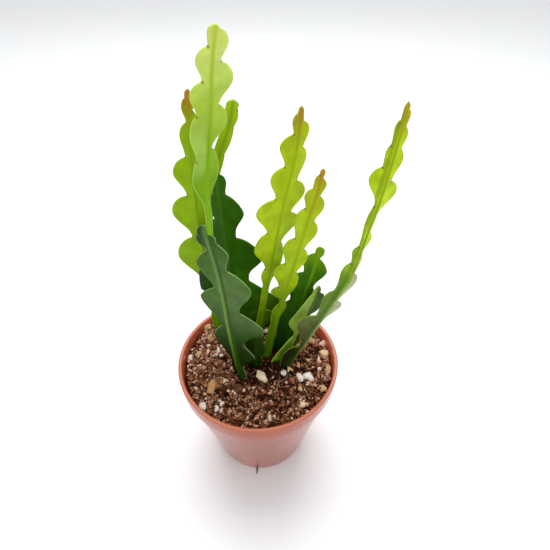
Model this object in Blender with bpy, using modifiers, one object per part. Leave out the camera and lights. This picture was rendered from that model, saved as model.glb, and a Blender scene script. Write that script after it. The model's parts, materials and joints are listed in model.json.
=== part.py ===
"""Fishbone cactus rooted in a round plastic nursery pot.

The plant is a clump of flattened, leafless stems. Each has a midrib and rounded lobes that
alternate along its two margins, with a notch between every two lobes. Broad dark cuttings
stand in potting mix, and slimmer pale shoots have grown up among them.

Frame: +Z up, the origin at the centre of the pot's foot, the front of the pot towards -Y.
Lengths are written in millimetres and turned into metres where the meshes are made.
"""

import math
from dataclasses import dataclass

import bmesh
import bpy
import numpy as np
from mathutils import Matrix, Vector, noise

MM = 0.001
GAP = 0.45  # clearance between solids that touch on the real plant

# Pot: a tapered thin wall under a thick upright rim band.
POT_HEIGHT = 90.0
RIM_RADIUS = 52.5
RIM_WIDTH = 2.6
BAND_HEIGHT = 10.5
BAND_DRAFT = 0.6  # how much the band narrows over its height
BODY_TOP_RADIUS = 50.3
BODY_BASE_RADIUS = 33.2
WALL = 1.1
FLOOR_TOP = 2.6
FLOOR_UNDERSIDE = 1.4
FOOT_RADIUS = 31.8
FOOT_WIDTH = 3.3
PAD_RADIUS = 9.0  # flat pad in the middle of the underside, level with the foot
DRAIN_HOLES = 8
DRAIN_HOLE_RADIUS = 3.2
DRAIN_RING_RADIUS = 20.0
POT_STEPS = 48

# Potting mix.
SOIL_WALL_GAP = 0.6
SOIL_EDGE_HEIGHT = 80.5
SOIL_MOUND = 3.0
SOIL_RELIEF = 0.9
SOIL_GRAIN = 4.5  # width of one clod in the relief
SOIL_HEAP = 3.2  # how much higher the surface lies against the wall on its high side
SOIL_HEAP_TURN = 148.0  # direction of that side, in degrees from +X
SOIL_RINGS = 11
SOIL_SEGMENTS = POT_STEPS
ROOT_DEPTH = 20.0  # length of stem below the surface
HOLE_TOP = 12.0  # the cutters of the stems' holes end this far above the surface
GRAIN_SEED = 11
GRAIN_COUNT = 16

# Perlite and pumice grains that stand out on the surface: (x, y, width across).
LARGE_GRAINS = (
    (2.5, -11.5, 8),
    (26.5, -11, 6),
    (33, -11.5, 6.5),
    (17, -8, 4.5),
    (21, -7.5, 5),
    (-34, -30, 5.5),
    (-24, -31.5, 5),
    (29.5, -30, 5.5),
    (-43.5, 5, 4.5),
    (-29, -18.5, 7),
    (-28.5, 13, 5),
    (42.5, -9, 4.5),
    (44, 0, 5),
    (38, 21.5, 4.5),
)

# Blade section.
RIB_HALF_WIDTH = 2.0
SECTION_SPACING = 1.2  # least distance between two sections
SLOPE_STATIONS = (0.3, 0.65)  # sections on the way from notch to crest, and from crest to notch
TIP_ROUNDING = 2.5  # length over which a stem's end rounds off
STUB = 0.35  # share of the width left at the very end


@dataclass(frozen=True)
class Stem:
    """One flattened stem. A height is a length along the midrib from the potting mix upwards.

    Each margin is a row of lobes, given from the foot up as (height of the notch that closes
    the lobe, half-width of the stem at the lobe's crest, half-width in that notch). The first
    entry has no lobe: it only says where the lobes begin and how wide the stalk is below them.
    A later entry with no reach, 0, has none either: its margin runs straight up to it.
    """

    name: str
    spine: tuple  # midrib points, the buried end first
    facing: tuple  # (height, degrees from +X) of the direction of the right-hand margin
    left: tuple
    right: tuple
    crest: float  # place of a crest between the two notches of its lobe
    colour: tuple
    shoulder: float = 1.8  # upper side of a lobe: 1 is a straight slope, 2 a quarter round
    hollow: float = 1.0  # lower side of a lobe: larger keeps it close to the midrib for longer
    fold: tuple = ((0, 0.0), (1, 0.0))  # (height, rise of both margins towards the front)
    rib: tuple = (4.4, 2.0)  # thickness over the midrib, at the foot and at the tip
    blade: float = 2.0  # thickness beside the midrib
    margin: float = 1.2  # thickness of the margin
    sunk: float = ROOT_DEPTH

    def path(self):
        """Heights, points and unit directions along the midrib, finely sampled."""
        points = smooth_path(np.array(self.spine, dtype=float))
        steps = np.linalg.norm(np.diff(points, axis=0), axis=1)
        heights = np.concatenate([[0.0], np.cumsum(steps)]) - self.sunk
        tangents = np.gradient(points, heights, axis=0)
        tangents /= np.linalg.norm(tangents, axis=1)[:, None]
        return heights, points, tangents

    def half_width(self, height, lobes, end):
        """Midrib to margin: a lobe swells from its lower notch and closes on its upper one.

        Where an entry has no reach, the margin runs straight from notch to notch.
        """
        notches, reach, waist = (np.array(column, dtype=float) for column in zip(*lobes))
        slot = np.clip(np.searchsorted(notches, height, side="right"), 1, len(notches) - 1)
        low, high = notches[slot - 1], notches[slot]
        place = np.clip((height - low) / (high - low), 0.0, 1.0)
        swell = (0.5 - 0.5 * np.cos(np.pi * np.minimum(place / self.crest, 1.0))) ** self.hollow
        above = np.clip((place - self.crest) / (1.0 - self.crest), 0.0, 1.0)
        closing = (1.0 - above**self.shoulder) ** (1.0 / self.shoulder)
        lobe = np.where(place < self.crest, swell, closing)
        base = np.where(place < self.crest, waist[slot - 1], waist[slot])
        straight = waist[slot - 1] + (waist[slot] - waist[slot - 1]) * place
        width = np.where(reach[slot] > 0, base + (reach[slot] - base) * lobe, straight)
        near_end = np.clip(1.0 - (end - height) / TIP_ROUNDING, 0.0, 1.0)
        rounding = np.maximum(np.sqrt(1.0 - near_end**2), STUB)
        return width * rounding

    def stations(self, lowest, highest):
        """Heights of the lofted sections: more of them where a margin turns."""
        tip = [highest - TIP_ROUNDING * t for t in (0.0, 0.15, 0.5, 1.0)]
        notches = [entry[0] for lobes in (self.left, self.right) for entry in lobes[:-1]]
        crests = []
        slopes = []
        for lobes in (self.left, self.right):
            for (low, *_), (high, reach, _) in zip(lobes[:-1], lobes[1:]):
                if reach == 0:
                    continue
                crest = low + (high - low) * self.crest
                crests.append(crest)
                slopes += [low + (crest - low) * t for t in SLOPE_STATIONS]
                slopes += [crest + (high - crest) * t for t in SLOPE_STATIONS]
        kept = [lowest, *tip]
        for height in [*notches, *crests, 0.0, *slopes]:
            clear = all(abs(height - other) > SECTION_SPACING for other in kept)
            if clear and lowest < height < tip[-1]:
                kept.append(height)
        return np.array(sorted(kept))

    def rings(self, grow=0.0, top=None):
        """Ten-point sections from the buried end to the tip, or to top, each grown all round."""
        heights, points, tangents = self.path()
        at = self.stations(heights[0], heights[-1])
        at = at if top is None else np.array([*at[at < top], top])
        centre = interpolate(at, heights, points)
        along = interpolate(at, heights, tangents)
        centre[0] -= along[0] * grow
        angle = np.radians(np.interp(at, *zip(*self.facing)))
        across = np.stack([np.cos(angle), np.sin(angle), np.zeros_like(angle)], axis=1)
        across -= np.sum(across * along, axis=1)[:, None] * along
        across /= np.linalg.norm(across, axis=1)[:, None]
        front = np.cross(across, along)
        left = self.half_width(at, self.left, heights[-1]) + grow
        right = self.half_width(at, self.right, heights[-1]) + grow
        narrow = np.minimum(left, right)
        share = np.clip(at / heights[-1], 0.0, 1.0)
        rib = self.rib[0] + (self.rib[1] - self.rib[0]) * share
        rib = np.minimum(rib, 1.7 * narrow + 0.4) / 2 + grow
        shoulder = np.minimum(RIB_HALF_WIDTH, 0.6 * narrow)
        blade = np.minimum(self.blade / 2 + grow, rib * 0.85)
        edge = np.minimum(self.margin / 2 + grow, blade * 0.8)
        fold = np.interp(at, *zip(*self.fold))
        section = [
            (-left, -edge),
            (-shoulder, -blade),
            (0 * rib, -rib),
            (shoulder, -blade),
            (right, -edge),
            (right, edge),
            (shoulder, blade),
            (0 * rib, rib),
            (-shoulder, blade),
            (-left, edge),
        ]
        points = []
        for a, b in section:
            b = b + fold * abs(a)
            points.append(centre + a[:, None] * across + b[:, None] * front)
        return np.stack(points, axis=1)


def smooth_path(points, samples=24):
    """A Catmull-Rom curve through the points, with its end tangents carried straight on."""
    ends = np.vstack([2 * points[0] - points[1], points, 2 * points[-1] - points[-2]])
    t = np.linspace(0.0, 1.0, samples, endpoint=False)[:, None]
    spans = []
    for a, b, c, d in zip(ends[:-3], ends[1:-2], ends[2:-1], ends[3:]):
        cubic = -a + 3 * b - 3 * c + d
        square = 2 * a - 5 * b + 4 * c - d
        spans.append(0.5 * (2 * b + (c - a) * t + square * t**2 + cubic * t**3))
    return np.vstack([*spans, points[-1:]])


def interpolate(at, heights, values):
    """Linear interpolation of each column of values."""
    return np.stack([np.interp(at, heights, column) for column in values.T], axis=1)


OLD_GREEN = (0.045, 0.14, 0.03)
MID_GREEN = (0.10, 0.26, 0.03)
NEW_GREEN = (0.36, 0.52, 0.05)

FRONT_CUTTING = Stem(
    name="front_cutting",
    spine=((-7.5, -11.5, 63), (-10, -11, 82.5), (-13, -10, 100.5), (-15.5, -9, 128),
           (-17, -8, 152), (-19, -7, 173), (-23, -6, 201)),
    facing=((0, -25), (110, -25)),
    left=((2, 0, 3.5), (16, 5, 4), (48, 12.5, 4.5), (77, 16.5, 5), (103, 12, 3), (119, 6, 2.5)),
    right=((11, 0, 3.6), (35, 14.4, 8), (62, 23, 8.5), (91, 18.5, 5.5), (108.5, 9.5, 4.4),
           (114, 4.8, 1.2), (119, 1.2, 1.2)),
    rib=(4.4, 2.6),
    crest=0.67,
    shoulder=1.3,
    hollow=1.1,
    colour=OLD_GREEN,
)
TALL_SHOOT = Stem(
    name="tall_shoot",
    spine=((-20.8, -6.4, 191), (-20.8, -6.2, 197), (-20.2, -6.3, 206), (-20.2, -6.8, 214),
           (-19.3, -7.2, 223), (-17, -8, 240), (-14, -8, 260), (-12, -8, 275), (-9.5, -8, 286.5)),
    sunk=4.0,
    facing=((0, 15), (46, 34), (95, 34)),
    left=((16, 0, 1.6), (41, 6.5, 5), (60, 8.5, 5.5), (73, 8.5, 3.5), (85, 6.5, 2), (93, 3, 1.2)),
    right=((20, 0, 1.8), (46, 5.5, 2), (64, 8.5, 4), (80, 9.5, 4), (91, 6.5, 2.5), (93, 2, 1.2)),
    crest=0.63,
    rib=(2.8, 1.8),
    blade=1.8,
    margin=1.0,
    colour=NEW_GREEN,
)
LEFT_SHOOT = Stem(
    name="left_shoot",
    spine=((-24.5, 29, 63), (-27, 29, 83), (-29.5, 29, 105), (-31, 29, 133), (-32.5, 29, 175),
           (-32, 28, 206), (-30.5, 28, 233), (-29, 27.5, 253)),
    facing=((0, 0), (170, 0)),
    left=((-6, 0, 2.5), (20, 5, 3.5), (48, 5, 4.5), (85, 16.5, 5.5), (113, 14.5, 5),
          (136, 10.5, 3.5), (154, 5.5, 1.8), (166, 3.5, 1.7), (170, 1.6, 1)),
    right=((-4, 0, 2.5), (30, 5, 4), (70, 9, 5), (99, 14, 5), (125, 12, 4.5), (145, 8, 3),
           (160, 4.5, 2), (168, 3, 1.4), (170, 1.4, 1)),
    crest=0.62,
    hollow=1.25,
    rib=(4.0, 1.8),
    blade=1.8,
    margin=1.0,
    colour=MID_GREEN,
)
SLIM_SHOOT = Stem(
    name="slim_shoot",
    spine=((-18.5, 37.5, 63), (-22.5, 38, 83), (-26.5, 38, 105.5), (-30, 38, 138), (-31, 38, 167.5),
           (-27.5, 37.5, 191), (-22, 37, 207), (-12.5, 36.5, 231), (-9, 35.5, 245)),
    facing=((0, 0), (165, 0)),
    left=((0, 0, 2.2), (60, 4, 2.4), (100, 5, 3), (126, 4.5, 3), (150, 3.6, 2.8), (168, 3.4, 2.4)),
    right=((20, 0, 2.2), (80, 4.5, 2.4), (112, 5, 3), (136, 3.6, 2.6), (152, 3.3, 2.5),
           (162, 3.5, 2.7), (168, 3.2, 2)),
    crest=0.6,
    rib=(3.8, 2.4),
    colour=MID_GREEN,
)
BACK_CUTTING = Stem(
    name="back_cutting",
    spine=((-9.5, 24, 63), (-11.5, 24, 83), (-12.5, 24, 98), (-15.5, 24, 129), (-17, 23, 156.5),
           (-18.5, 22, 197.5), (-18.5, 22, 213)),
    facing=((0, -5), (130, -5)),
    left=((0, 0, 5), (34, 12, 6), (43.5, 0, 10), (45.5, 0, 19), (47.8, 0, 21.2), (69, 20.4, 6),
          (101, 17, 4.5), (118, 10, 3), (130, 4.5, 2.5)),
    right=((-12, 0, 5), (25.5, 14, 18), (28.5, 0, 25.5), (38.5, 29.8, 29.3), (54, 0, 11),
           (89, 21, 6.5), (118, 12.5, 3.7), (130, 4.5, 2.5)),
    crest=0.62,
    shoulder=1.5,
    hollow=1.7,
    colour=OLD_GREEN,
)
CENTRE_SHOOT = Stem(
    name="centre_shoot",
    spine=((-5, 16, 63), (-2.5, 16, 83), (1, 16, 109), (4, 17, 127), (6.5, 17, 144),
           (9.5, 18, 163), (14, 18, 192), (20.5, 20, 224), (23, 20, 248)),
    facing=((0, 15), (60, 30), (167, 30)),
    left=((40, 0, 2.3), (57, 3, 2.8), (71, 5, 3.5), (98, 13.5, 6.5), (119, 15, 5.5),
          (137, 11.5, 4.5), (154, 9, 2.5), (164, 4, 1.5), (167, 1.3, 1)),
    right=((14, 0, 2.3), (36, 9.3, 2.2), (56, 2.3, 2.3), (89, 7.5, 4.5), (110, 13, 6.5),
           (129, 12.5, 5.5), (147, 7.5, 4), (160, 6, 2.5), (167, 1.8, 1)),
    crest=0.67,
    rib=(4.2, 1.8),
    blade=1.8,
    margin=1.0,
    colour=NEW_GREEN,
)
SHORT_SHOOT = Stem(
    name="short_shoot",
    spine=((4.5, 5, 63), (5.6, 5, 83), (7, 6.2, 90), (11.3, 10, 112.5), (15.5, 11.3, 133),
           (22, 12, 162.5), (27.5, 13, 187.5), (32, 14, 206), (34.5, 14, 220)),
    facing=((0, 8), (140, 8)),
    left=((-8, 0, 4), (28, 4, 3.3), (47, 4.4, 1.5), (51, 1.6, 1.6), (61.5, 8.8, 4.9),
          (80, 10.5, 5.5), (98, 9, 4), (117, 7, 3.5), (129, 6, 3), (137, 3, 1.2), (141, 1.4, 1)),
    right=((-8, 0, 2.6), (36, 1.7, 1.7), (50, 3.8, 2.3), (74, 6, 3.2), (91, 7, 3.5),
           (110, 7.5, 3.7), (125, 6.3, 2.4), (135, 4, 1.3), (141, 1.6, 1)),
    crest=0.65,
    rib=(4.2, 1.8),
    blade=1.8,
    margin=1.0,
    colour=NEW_GREEN,
)
RIGHT_STEM = Stem(
    name="right_stem",
    spine=((14, -3, 63), (19, -3.3, 83), (26, -3.4, 101.5), (33.2, -4, 119.5), (47, -4, 153.5),
           (52, -4, 168.5), (57.5, -2, 198), (60.5, 0, 211), (64, 2, 238), (65.5, 2, 256.5)),
    facing=((0, 10), (110, 10), (181, 12)),
    fold=((0, -0.35), (105, -0.35), (140, -0.3), (181, -0.1)),
    left=((-14, 0, 2.5), (24, 7, 1.8), (54, 10.6, 4), (76, 6, 3.5), (98, 5.5, 2.5), (109, 3.6, 1.6),
          (132, 2.6, 1.7), (152, 7.4, 3.3), (162.5, 3.8, 2.5), (174, 3, 1.3), (181, 1.3, 0.9)),
    right=((-6, 0, 1.7), (50, 2, 1.7), (69, 9, 2.3), (91, 7, 2), (105, 3, 1.5), (118, 4, 1.8),
           (127, 2.2, 1.9), (145.5, 8.7, 3.3), (160.5, 5.8, 3.3), (170.5, 4.4, 2.3), (178.5, 2.8, 1.3),
           (181, 1.3, 0.9)),
    crest=0.68,
    hollow=1.4,
    rib=(4.4, 1.8),
    margin=1.1,
    colour=MID_GREEN,
)
BACK_RIGHT_CUTTING = Stem(
    name="back_right_cutting",
    spine=((11.5, 9.5, 63), (16.5, 12, 83), (20.5, 14, 98.5), (25.5, 17, 116.5), (30, 19, 133),
           (33.5, 20.5, 145), (37.3, 22.3, 165.5)),
    facing=((0, -5), (80, -5)),
    left=((-6, 0, 6), (12, 10, 8), (43, 13, 7.5), (66, 14, 5.6), (81.5, 7.6, 2), (86.5, 2, 1.6)),
    right=((10, 0, 5), (57, 9, 3.8), (78, 8.3, 2), (84.5, 3.6, 3.4), (86.5, 3.4, 3)),
    crest=0.62,
    shoulder=1.4,
    hollow=1.3,
    colour=OLD_GREEN,
)
TURNED_SHOOT = Stem(
    name="turned_shoot",
    spine=((14, 4, 63), (19.5, 5, 83), (24.5, 6, 102.5), (28.5, 7, 117), (33, 8, 131.5),
           (37.2, 9.3, 146.5)),
    facing=((0, 25), (64, 25)),
    left=((-14, 0, 4), (24, 12.6, 2.7), (60, 10.8, 2.6), (66, 2.6, 1.6)),
    right=((0, 0, 2.5), (41, 2.6, 1.7), (57.5, 8, 7.4), (61, 7, 3), (66, 2.6, 1.4)),
    crest=0.4,
    shoulder=1.2,
    rib=(3.8, 2.0),
    colour=MID_GREEN,
)
STUB_CUTTING = Stem(
    name="stub_cutting",
    spine=((3, 34, 63), (2, 34, 83), (1, 34, 107)),
    facing=((0, 0), (24, 0)),
    left=((-6, 0, 4), (18, 7, 4), (24, 5, 3)),
    right=((-10, 0, 4), (12, 9, 5), (24, 7, 3)),
    crest=0.6,
    colour=OLD_GREEN,
)
OLD_STUMP = Stem(
    name="old_stump",
    spine=((-1.5, -1.5, 63), (-1.7, -1.8, 83), (-1.2, -1.8, 114)),
    facing=((0, 0), (31, 0)),
    left=((-6, 0, 4.5), (14, 7.5, 6), (31, 6.5, 4)),
    right=((-8, 0, 3), (9, 4.6, 4), (24, 6, 5), (31, 5.2, 4)),
    crest=0.6,
    colour=OLD_GREEN,
)
STEMS = (
    FRONT_CUTTING, LEFT_SHOOT, SLIM_SHOOT, BACK_CUTTING, CENTRE_SHOOT, SHORT_SHOOT,
    RIGHT_STEM, BACK_RIGHT_CUTTING, TURNED_SHOOT, STUB_CUTTING, OLD_STUMP,
)


def clear_scene():
    """Removes what the startup file holds."""
    for obj in list(bpy.data.objects):
        bpy.data.objects.remove(obj, do_unlink=True)


def new_collection(name):
    """A collection under the scene's own."""
    collection = bpy.data.collections.new(name)
    bpy.context.scene.collection.children.link(collection)
    return collection


def material(name, colour, roughness):
    """A Principled material with a plain colour."""
    made = bpy.data.materials.new(name)
    made.use_nodes = True
    shader = made.node_tree.nodes["Principled BSDF"]
    shader.inputs["Base Color"].default_value = (*colour, 1.0)
    shader.inputs["Roughness"].default_value = roughness
    shader.inputs["Metallic"].default_value = 0.0
    return made


def mesh_object(name, points, faces, collection):
    """An object from points in millimetres, smooth but for its sharp edges."""
    mesh = bpy.data.meshes.new(name)
    mesh.from_pydata((np.asarray(points) * MM).tolist(), [], faces)
    mesh.update()
    mesh.shade_smooth()
    mesh.set_sharp_from_angle(angle=math.radians(40))
    obj = bpy.data.objects.new(name, mesh)
    collection.objects.link(obj)
    return obj


def loft(name, rings, collection):
    """A closed skin over rings of points, capped at both ends."""
    count, around = rings.shape[:2]
    faces = []
    for i in range(count - 1):
        for j in range(around):
            k = (j + 1) % around
            faces.append((i * around + j, i * around + k, (i + 1) * around + k, (i + 1) * around + j))
    faces.append(tuple(range(around))[::-1])
    faces.append(tuple(range((count - 1) * around, count * around)))
    obj = mesh_object(name, rings.reshape(-1, 3), faces, collection)
    face_outwards(obj)
    return obj


def face_outwards(obj):
    """Turns every face of a closed mesh outwards."""
    work = bmesh.new()
    work.from_mesh(obj.data)
    bmesh.ops.recalc_face_normals(work, faces=work.faces)
    work.to_mesh(obj.data)
    work.free()


def apply_boolean(obj, operation, operands, solver="EXACT"):
    """Joins a collection to obj, or cuts it away, then removes the collection's objects."""
    modifier = obj.modifiers.new(operation.lower(), "BOOLEAN")
    modifier.operation = operation
    modifier.operand_type = "COLLECTION"
    modifier.collection = operands
    modifier.solver = solver
    graph = bpy.context.evaluated_depsgraph_get()
    result = bpy.data.meshes.new_from_object(obj.evaluated_get(graph))
    obj.modifiers.clear()
    obj.data = result
    for used in list(operands.objects):
        bpy.data.objects.remove(used, do_unlink=True)
    bpy.data.collections.remove(operands)


def body_radius(z):
    """Outer radius of the pot's tapered wall at a height."""
    share = z / (POT_HEIGHT - BAND_HEIGHT)
    return BODY_BASE_RADIUS + (BODY_TOP_RADIUS - BODY_BASE_RADIUS) * share


def pot_profile():
    """(radius, height) from the middle of the floor: up the inside, over the rim, down outside."""
    band_base = POT_HEIGHT - BAND_HEIGHT
    inner_rim = RIM_RADIUS - RIM_WIDTH
    foot_inner = FOOT_RADIUS - FOOT_WIDTH
    return [
        (0.0, FLOOR_TOP),
        (body_radius(FLOOR_TOP) - WALL - 1.2, FLOOR_TOP),
        (body_radius(FLOOR_TOP + 1.2) - WALL, FLOOR_TOP + 1.2),
        (body_radius(band_base) - WALL, band_base),
        (inner_rim, POT_HEIGHT - 1.2),
        (inner_rim + 0.25, POT_HEIGHT - 0.4),
        (inner_rim + 0.8, POT_HEIGHT),
        (RIM_RADIUS - 0.8, POT_HEIGHT),
        (RIM_RADIUS - 0.25, POT_HEIGHT - 0.3),
        (RIM_RADIUS, POT_HEIGHT - 1.0),
        (RIM_RADIUS - BAND_DRAFT, band_base + 0.5),
        (RIM_RADIUS - BAND_DRAFT - 0.5, band_base),
        (body_radius(band_base), band_base - 0.2),
        (body_radius(2.0), 2.0),
        (FOOT_RADIUS + 0.8, 0.5),
        (FOOT_RADIUS, 0.0),
        (foot_inner, 0.0),
        (foot_inner - 0.7, FLOOR_UNDERSIDE),
        (PAD_RADIUS + 0.7, FLOOR_UNDERSIDE),
        (PAD_RADIUS, 0.0),
        (0.0, 0.0),
    ]


def build_pot(parts, cutters):
    """The pot: a turned wall with a ring of drain holes in its floor."""
    profile = pot_profile()
    mesh = bpy.data.meshes.new("pot")
    edges = [(i, i + 1) for i in range(len(profile) - 1)]
    mesh.from_pydata([(r * MM, 0.0, z * MM) for r, z in profile], edges, [])
    pot = bpy.data.objects.new("pot", mesh)
    parts.objects.link(pot)
    screw = pot.modifiers.new("turn", "SCREW")
    screw.angle = math.tau
    screw.steps = POT_STEPS
    screw.render_steps = POT_STEPS
    screw.use_merge_vertices = True
    screw.merge_threshold = 0.00001
    screw.use_smooth_shade = True
    for i in range(DRAIN_HOLES):
        turn = math.tau * i / DRAIN_HOLES
        bpy.ops.mesh.primitive_cylinder_add(
            vertices=12,
            radius=DRAIN_HOLE_RADIUS * MM,
            depth=4.0 * FLOOR_TOP * MM,
            location=(
                DRAIN_RING_RADIUS * MM * math.cos(turn),
                DRAIN_RING_RADIUS * MM * math.sin(turn),
                0.5 * (FLOOR_TOP + FLOOR_UNDERSIDE) * MM,
            ),
        )
        cutter = bpy.context.object
        cutter.name = f"drain_cutter_{i}"
        move_to(cutter, cutters)
    drains = pot.modifiers.new("drains", "BOOLEAN")
    drains.operand_type = "COLLECTION"
    drains.collection = cutters
    drains.operation = "DIFFERENCE"
    pot.data.materials.append(material("terracotta_plastic", (0.55, 0.17, 0.09), 0.42))
    return pot


def move_to(obj, collection):
    """Puts a helper in its collection, hidden from renders."""
    for old in list(obj.users_collection):
        old.objects.unlink(obj)
    collection.objects.link(obj)
    obj.hide_render = True
    obj.display_type = "WIRE"


def soil_radius(z):
    """Outer radius of the potting mix, just clear of the wall."""
    return body_radius(z) - WALL - SOIL_WALL_GAP


def soil_height(x, y):
    """Height of the surface: a low mound and a heap on one side, with the relief of clods."""
    edge = soil_radius(SOIL_EDGE_HEIGHT)
    mound = SOIL_MOUND * (1 - min(math.hypot(x, y) / edge, 1.0) ** 2)
    turn = math.radians(SOIL_HEAP_TURN)
    uphill = max(0.0, (x * math.cos(turn) + y * math.sin(turn)) / edge)
    heap = SOIL_HEAP * uphill**4
    clods = noise.noise(Vector((x / SOIL_GRAIN, y / SOIL_GRAIN, 0.3)))
    return SOIL_EDGE_HEIGHT + mound + heap + SOIL_RELIEF * clods


def soil_skin():
    """Points and faces of the mix: underside, wall, then rings closing in on the middle."""
    base = FLOOR_TOP + GAP
    outline = [(soil_radius(base) - 1.4, base), (soil_radius(base + 1.4), base + 1.4)]
    points = [(0.0, 0.0, base)]
    turns = [math.tau * i / SOIL_SEGMENTS for i in range(SOIL_SEGMENTS)]
    for radius, z in outline:
        points += [(radius * math.cos(a), radius * math.sin(a), z) for a in turns]
    edge = soil_radius(SOIL_EDGE_HEIGHT - SOIL_RELIEF)
    for ring in range(SOIL_RINGS, 0, -1):
        radius = edge * ring / SOIL_RINGS
        flat = [(radius * math.cos(a), radius * math.sin(a)) for a in turns]
        points += [(x, y, soil_height(x, y)) for x, y in flat]
    points.append((0.0, 0.0, soil_height(0.0, 0.0)))
    rows = len(outline) + SOIL_RINGS
    faces = []
    for j in range(SOIL_SEGMENTS):
        k = (j + 1) % SOIL_SEGMENTS
        faces.append((0, 1 + k, 1 + j))
        for row in range(rows - 1):
            low, high = 1 + row * SOIL_SEGMENTS, 1 + (row + 1) * SOIL_SEGMENTS
            faces.append((low + j, low + k, high + k, high + j))
        last = 1 + (rows - 1) * SOIL_SEGMENTS
        faces.append((last + j, last + k, len(points) - 1))
    return points, faces


def grain_places():
    """(x, y, width) of the grains on the surface: the large ones, then a seeded scatter."""
    random = np.random.default_rng(GRAIN_SEED)
    places = list(LARGE_GRAINS)
    outermost = soil_radius(SOIL_EDGE_HEIGHT) - 5.0
    while len(places) < len(LARGE_GRAINS) + GRAIN_COUNT:
        radius = outermost * math.sqrt(random.uniform(0.08, 1.0))
        turn = random.uniform(0.0, math.tau)
        width = random.uniform(3.0, 5.0)
        x, y = radius * math.cos(turn), radius * math.sin(turn)
        if all(math.hypot(x - a, y - b) > 0.5 * (width + w) + 1.0 for a, b, w in places):
            places.append((x, y, width))
    return places


def build_soil(parts):
    """The potting mix, with its grains fused on and a plain hole for each rooted stem."""
    points, faces = soil_skin()
    soil = mesh_object("soil", points, faces, parts)
    face_outwards(soil)
    grains = new_collection("grains")
    for i, (x, y, width) in enumerate(grain_places()):
        bpy.ops.mesh.primitive_ico_sphere_add(subdivisions=1, radius=0.5 * width * MM)
        grain = bpy.context.object
        grain.name = f"grain_{i}"
        flat = Matrix.Diagonal((1.0, 0.8, 0.62, 1.0))
        turn = Matrix.Rotation(2.4 * i, 4, "Z")
        place = Matrix.Translation(Vector((x, y, soil_height(x, y) - 0.06 * width)) * MM)
        grain.data.transform(place @ turn @ flat)
        move_to(grain, grains)
    apply_boolean(soil, "UNION", grains)
    holes = new_collection("stem_holes")
    for stem in STEMS:
        hole = loft(f"hole_{stem.name}", stem.rings(grow=GAP, top=HOLE_TOP), holes)
        hole.hide_render = True
    apply_boolean(soil, "DIFFERENCE", holes)
    soil.data.materials.clear()
    soil.data.materials.append(material("potting_mix", (0.13, 0.06, 0.035), 0.95))
    return soil


def build_stem(stem, parts):
    """A stem as one closed skin over its sections."""
    made = loft(stem.name, stem.rings(), parts)
    made.data.materials.append(material(f"{stem.name}_skin", stem.colour, 0.45))
    return made


def build():
    """Builds every piece of the plant and its pot."""
    clear_scene()
    parts = new_collection("fishbone_cactus")
    cutters = new_collection("cutters")
    build_pot(parts, cutters)
    build_soil(parts)
    for stem in STEMS:
        made = build_stem(stem, parts)
        if stem is FRONT_CUTTING:
            grown = new_collection("grown_on")
            build_stem(TALL_SHOOT, grown)
            apply_boolean(made, "UNION", grown)


build()
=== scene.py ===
"""Looks of a potted fishbone cactus: its stems, potting mix and nursery pot, on a pale floor.

The plant is a clump of flat, leafless stems. Each has a midrib and rounded lobes that alternate
along its two margins, with a felted areole in the notch between every two lobes.

Frame: +Z up, the origin at the centre of the pot's foot, the front of the pot towards -Y. Sizes
are in millimetres and turned into metres where a mesh is made.
"""

import json
import logging
import math
from collections.abc import Sequence
from dataclasses import dataclass, field
from enum import Enum

import bpy
import numpy as np
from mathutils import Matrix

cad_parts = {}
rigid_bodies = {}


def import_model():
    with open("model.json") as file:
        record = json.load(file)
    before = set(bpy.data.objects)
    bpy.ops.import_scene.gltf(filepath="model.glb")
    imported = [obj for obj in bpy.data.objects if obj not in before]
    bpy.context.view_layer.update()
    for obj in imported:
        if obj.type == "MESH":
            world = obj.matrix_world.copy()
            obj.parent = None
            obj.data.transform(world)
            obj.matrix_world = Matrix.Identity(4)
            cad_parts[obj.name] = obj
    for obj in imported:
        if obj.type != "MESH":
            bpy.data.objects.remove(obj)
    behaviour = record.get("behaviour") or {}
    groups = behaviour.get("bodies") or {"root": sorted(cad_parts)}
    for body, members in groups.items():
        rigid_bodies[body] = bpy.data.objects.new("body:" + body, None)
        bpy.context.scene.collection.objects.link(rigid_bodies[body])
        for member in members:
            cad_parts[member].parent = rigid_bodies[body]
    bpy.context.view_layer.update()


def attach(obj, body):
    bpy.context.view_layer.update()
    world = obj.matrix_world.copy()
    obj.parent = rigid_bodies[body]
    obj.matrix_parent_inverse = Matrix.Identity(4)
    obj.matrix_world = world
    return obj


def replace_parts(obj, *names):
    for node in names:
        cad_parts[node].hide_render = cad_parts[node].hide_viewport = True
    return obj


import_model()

LOG = logging.getLogger("fishbone_cactus")
MM = 0.001
BODY = "root"

Array = np.ndarray
Colour = tuple[float, float, float]
Stops = tuple[tuple[float, Colour], ...]
Lobes = tuple[tuple[float, float, float], ...]
Places = tuple[tuple[float, float], ...]
Point = tuple[float, float, float]
Socket = bpy.types.NodeSocket
Input = Socket | float | Colour


class Slot(Enum):
    """Material slots of the record."""

    POT = "terracotta_plastic"
    MIX = "potting_mix"
    OLD = "old_stem"
    YOUNG = "young_stem"
    NEW = "new_stem"


def rgb(red: float, green: float, blue: float) -> Colour:
    """A colour as seen on a screen, 0 to 255, in the linear light that shaders work in."""
    return tuple((value / 255.0) ** 2.2 for value in (red, green, blue))


def shades(*rows: tuple[float, int, int, int]) -> Stops:
    """Colours along a length of 1, each given as (place, red, green, blue) as seen on a screen."""
    return tuple((place, rgb(*colour)) for place, *colour in rows)


# ----------------------------------------------------------
# Numbers: noise, paths and closed skins
# ----------------------------------------------------------


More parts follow.
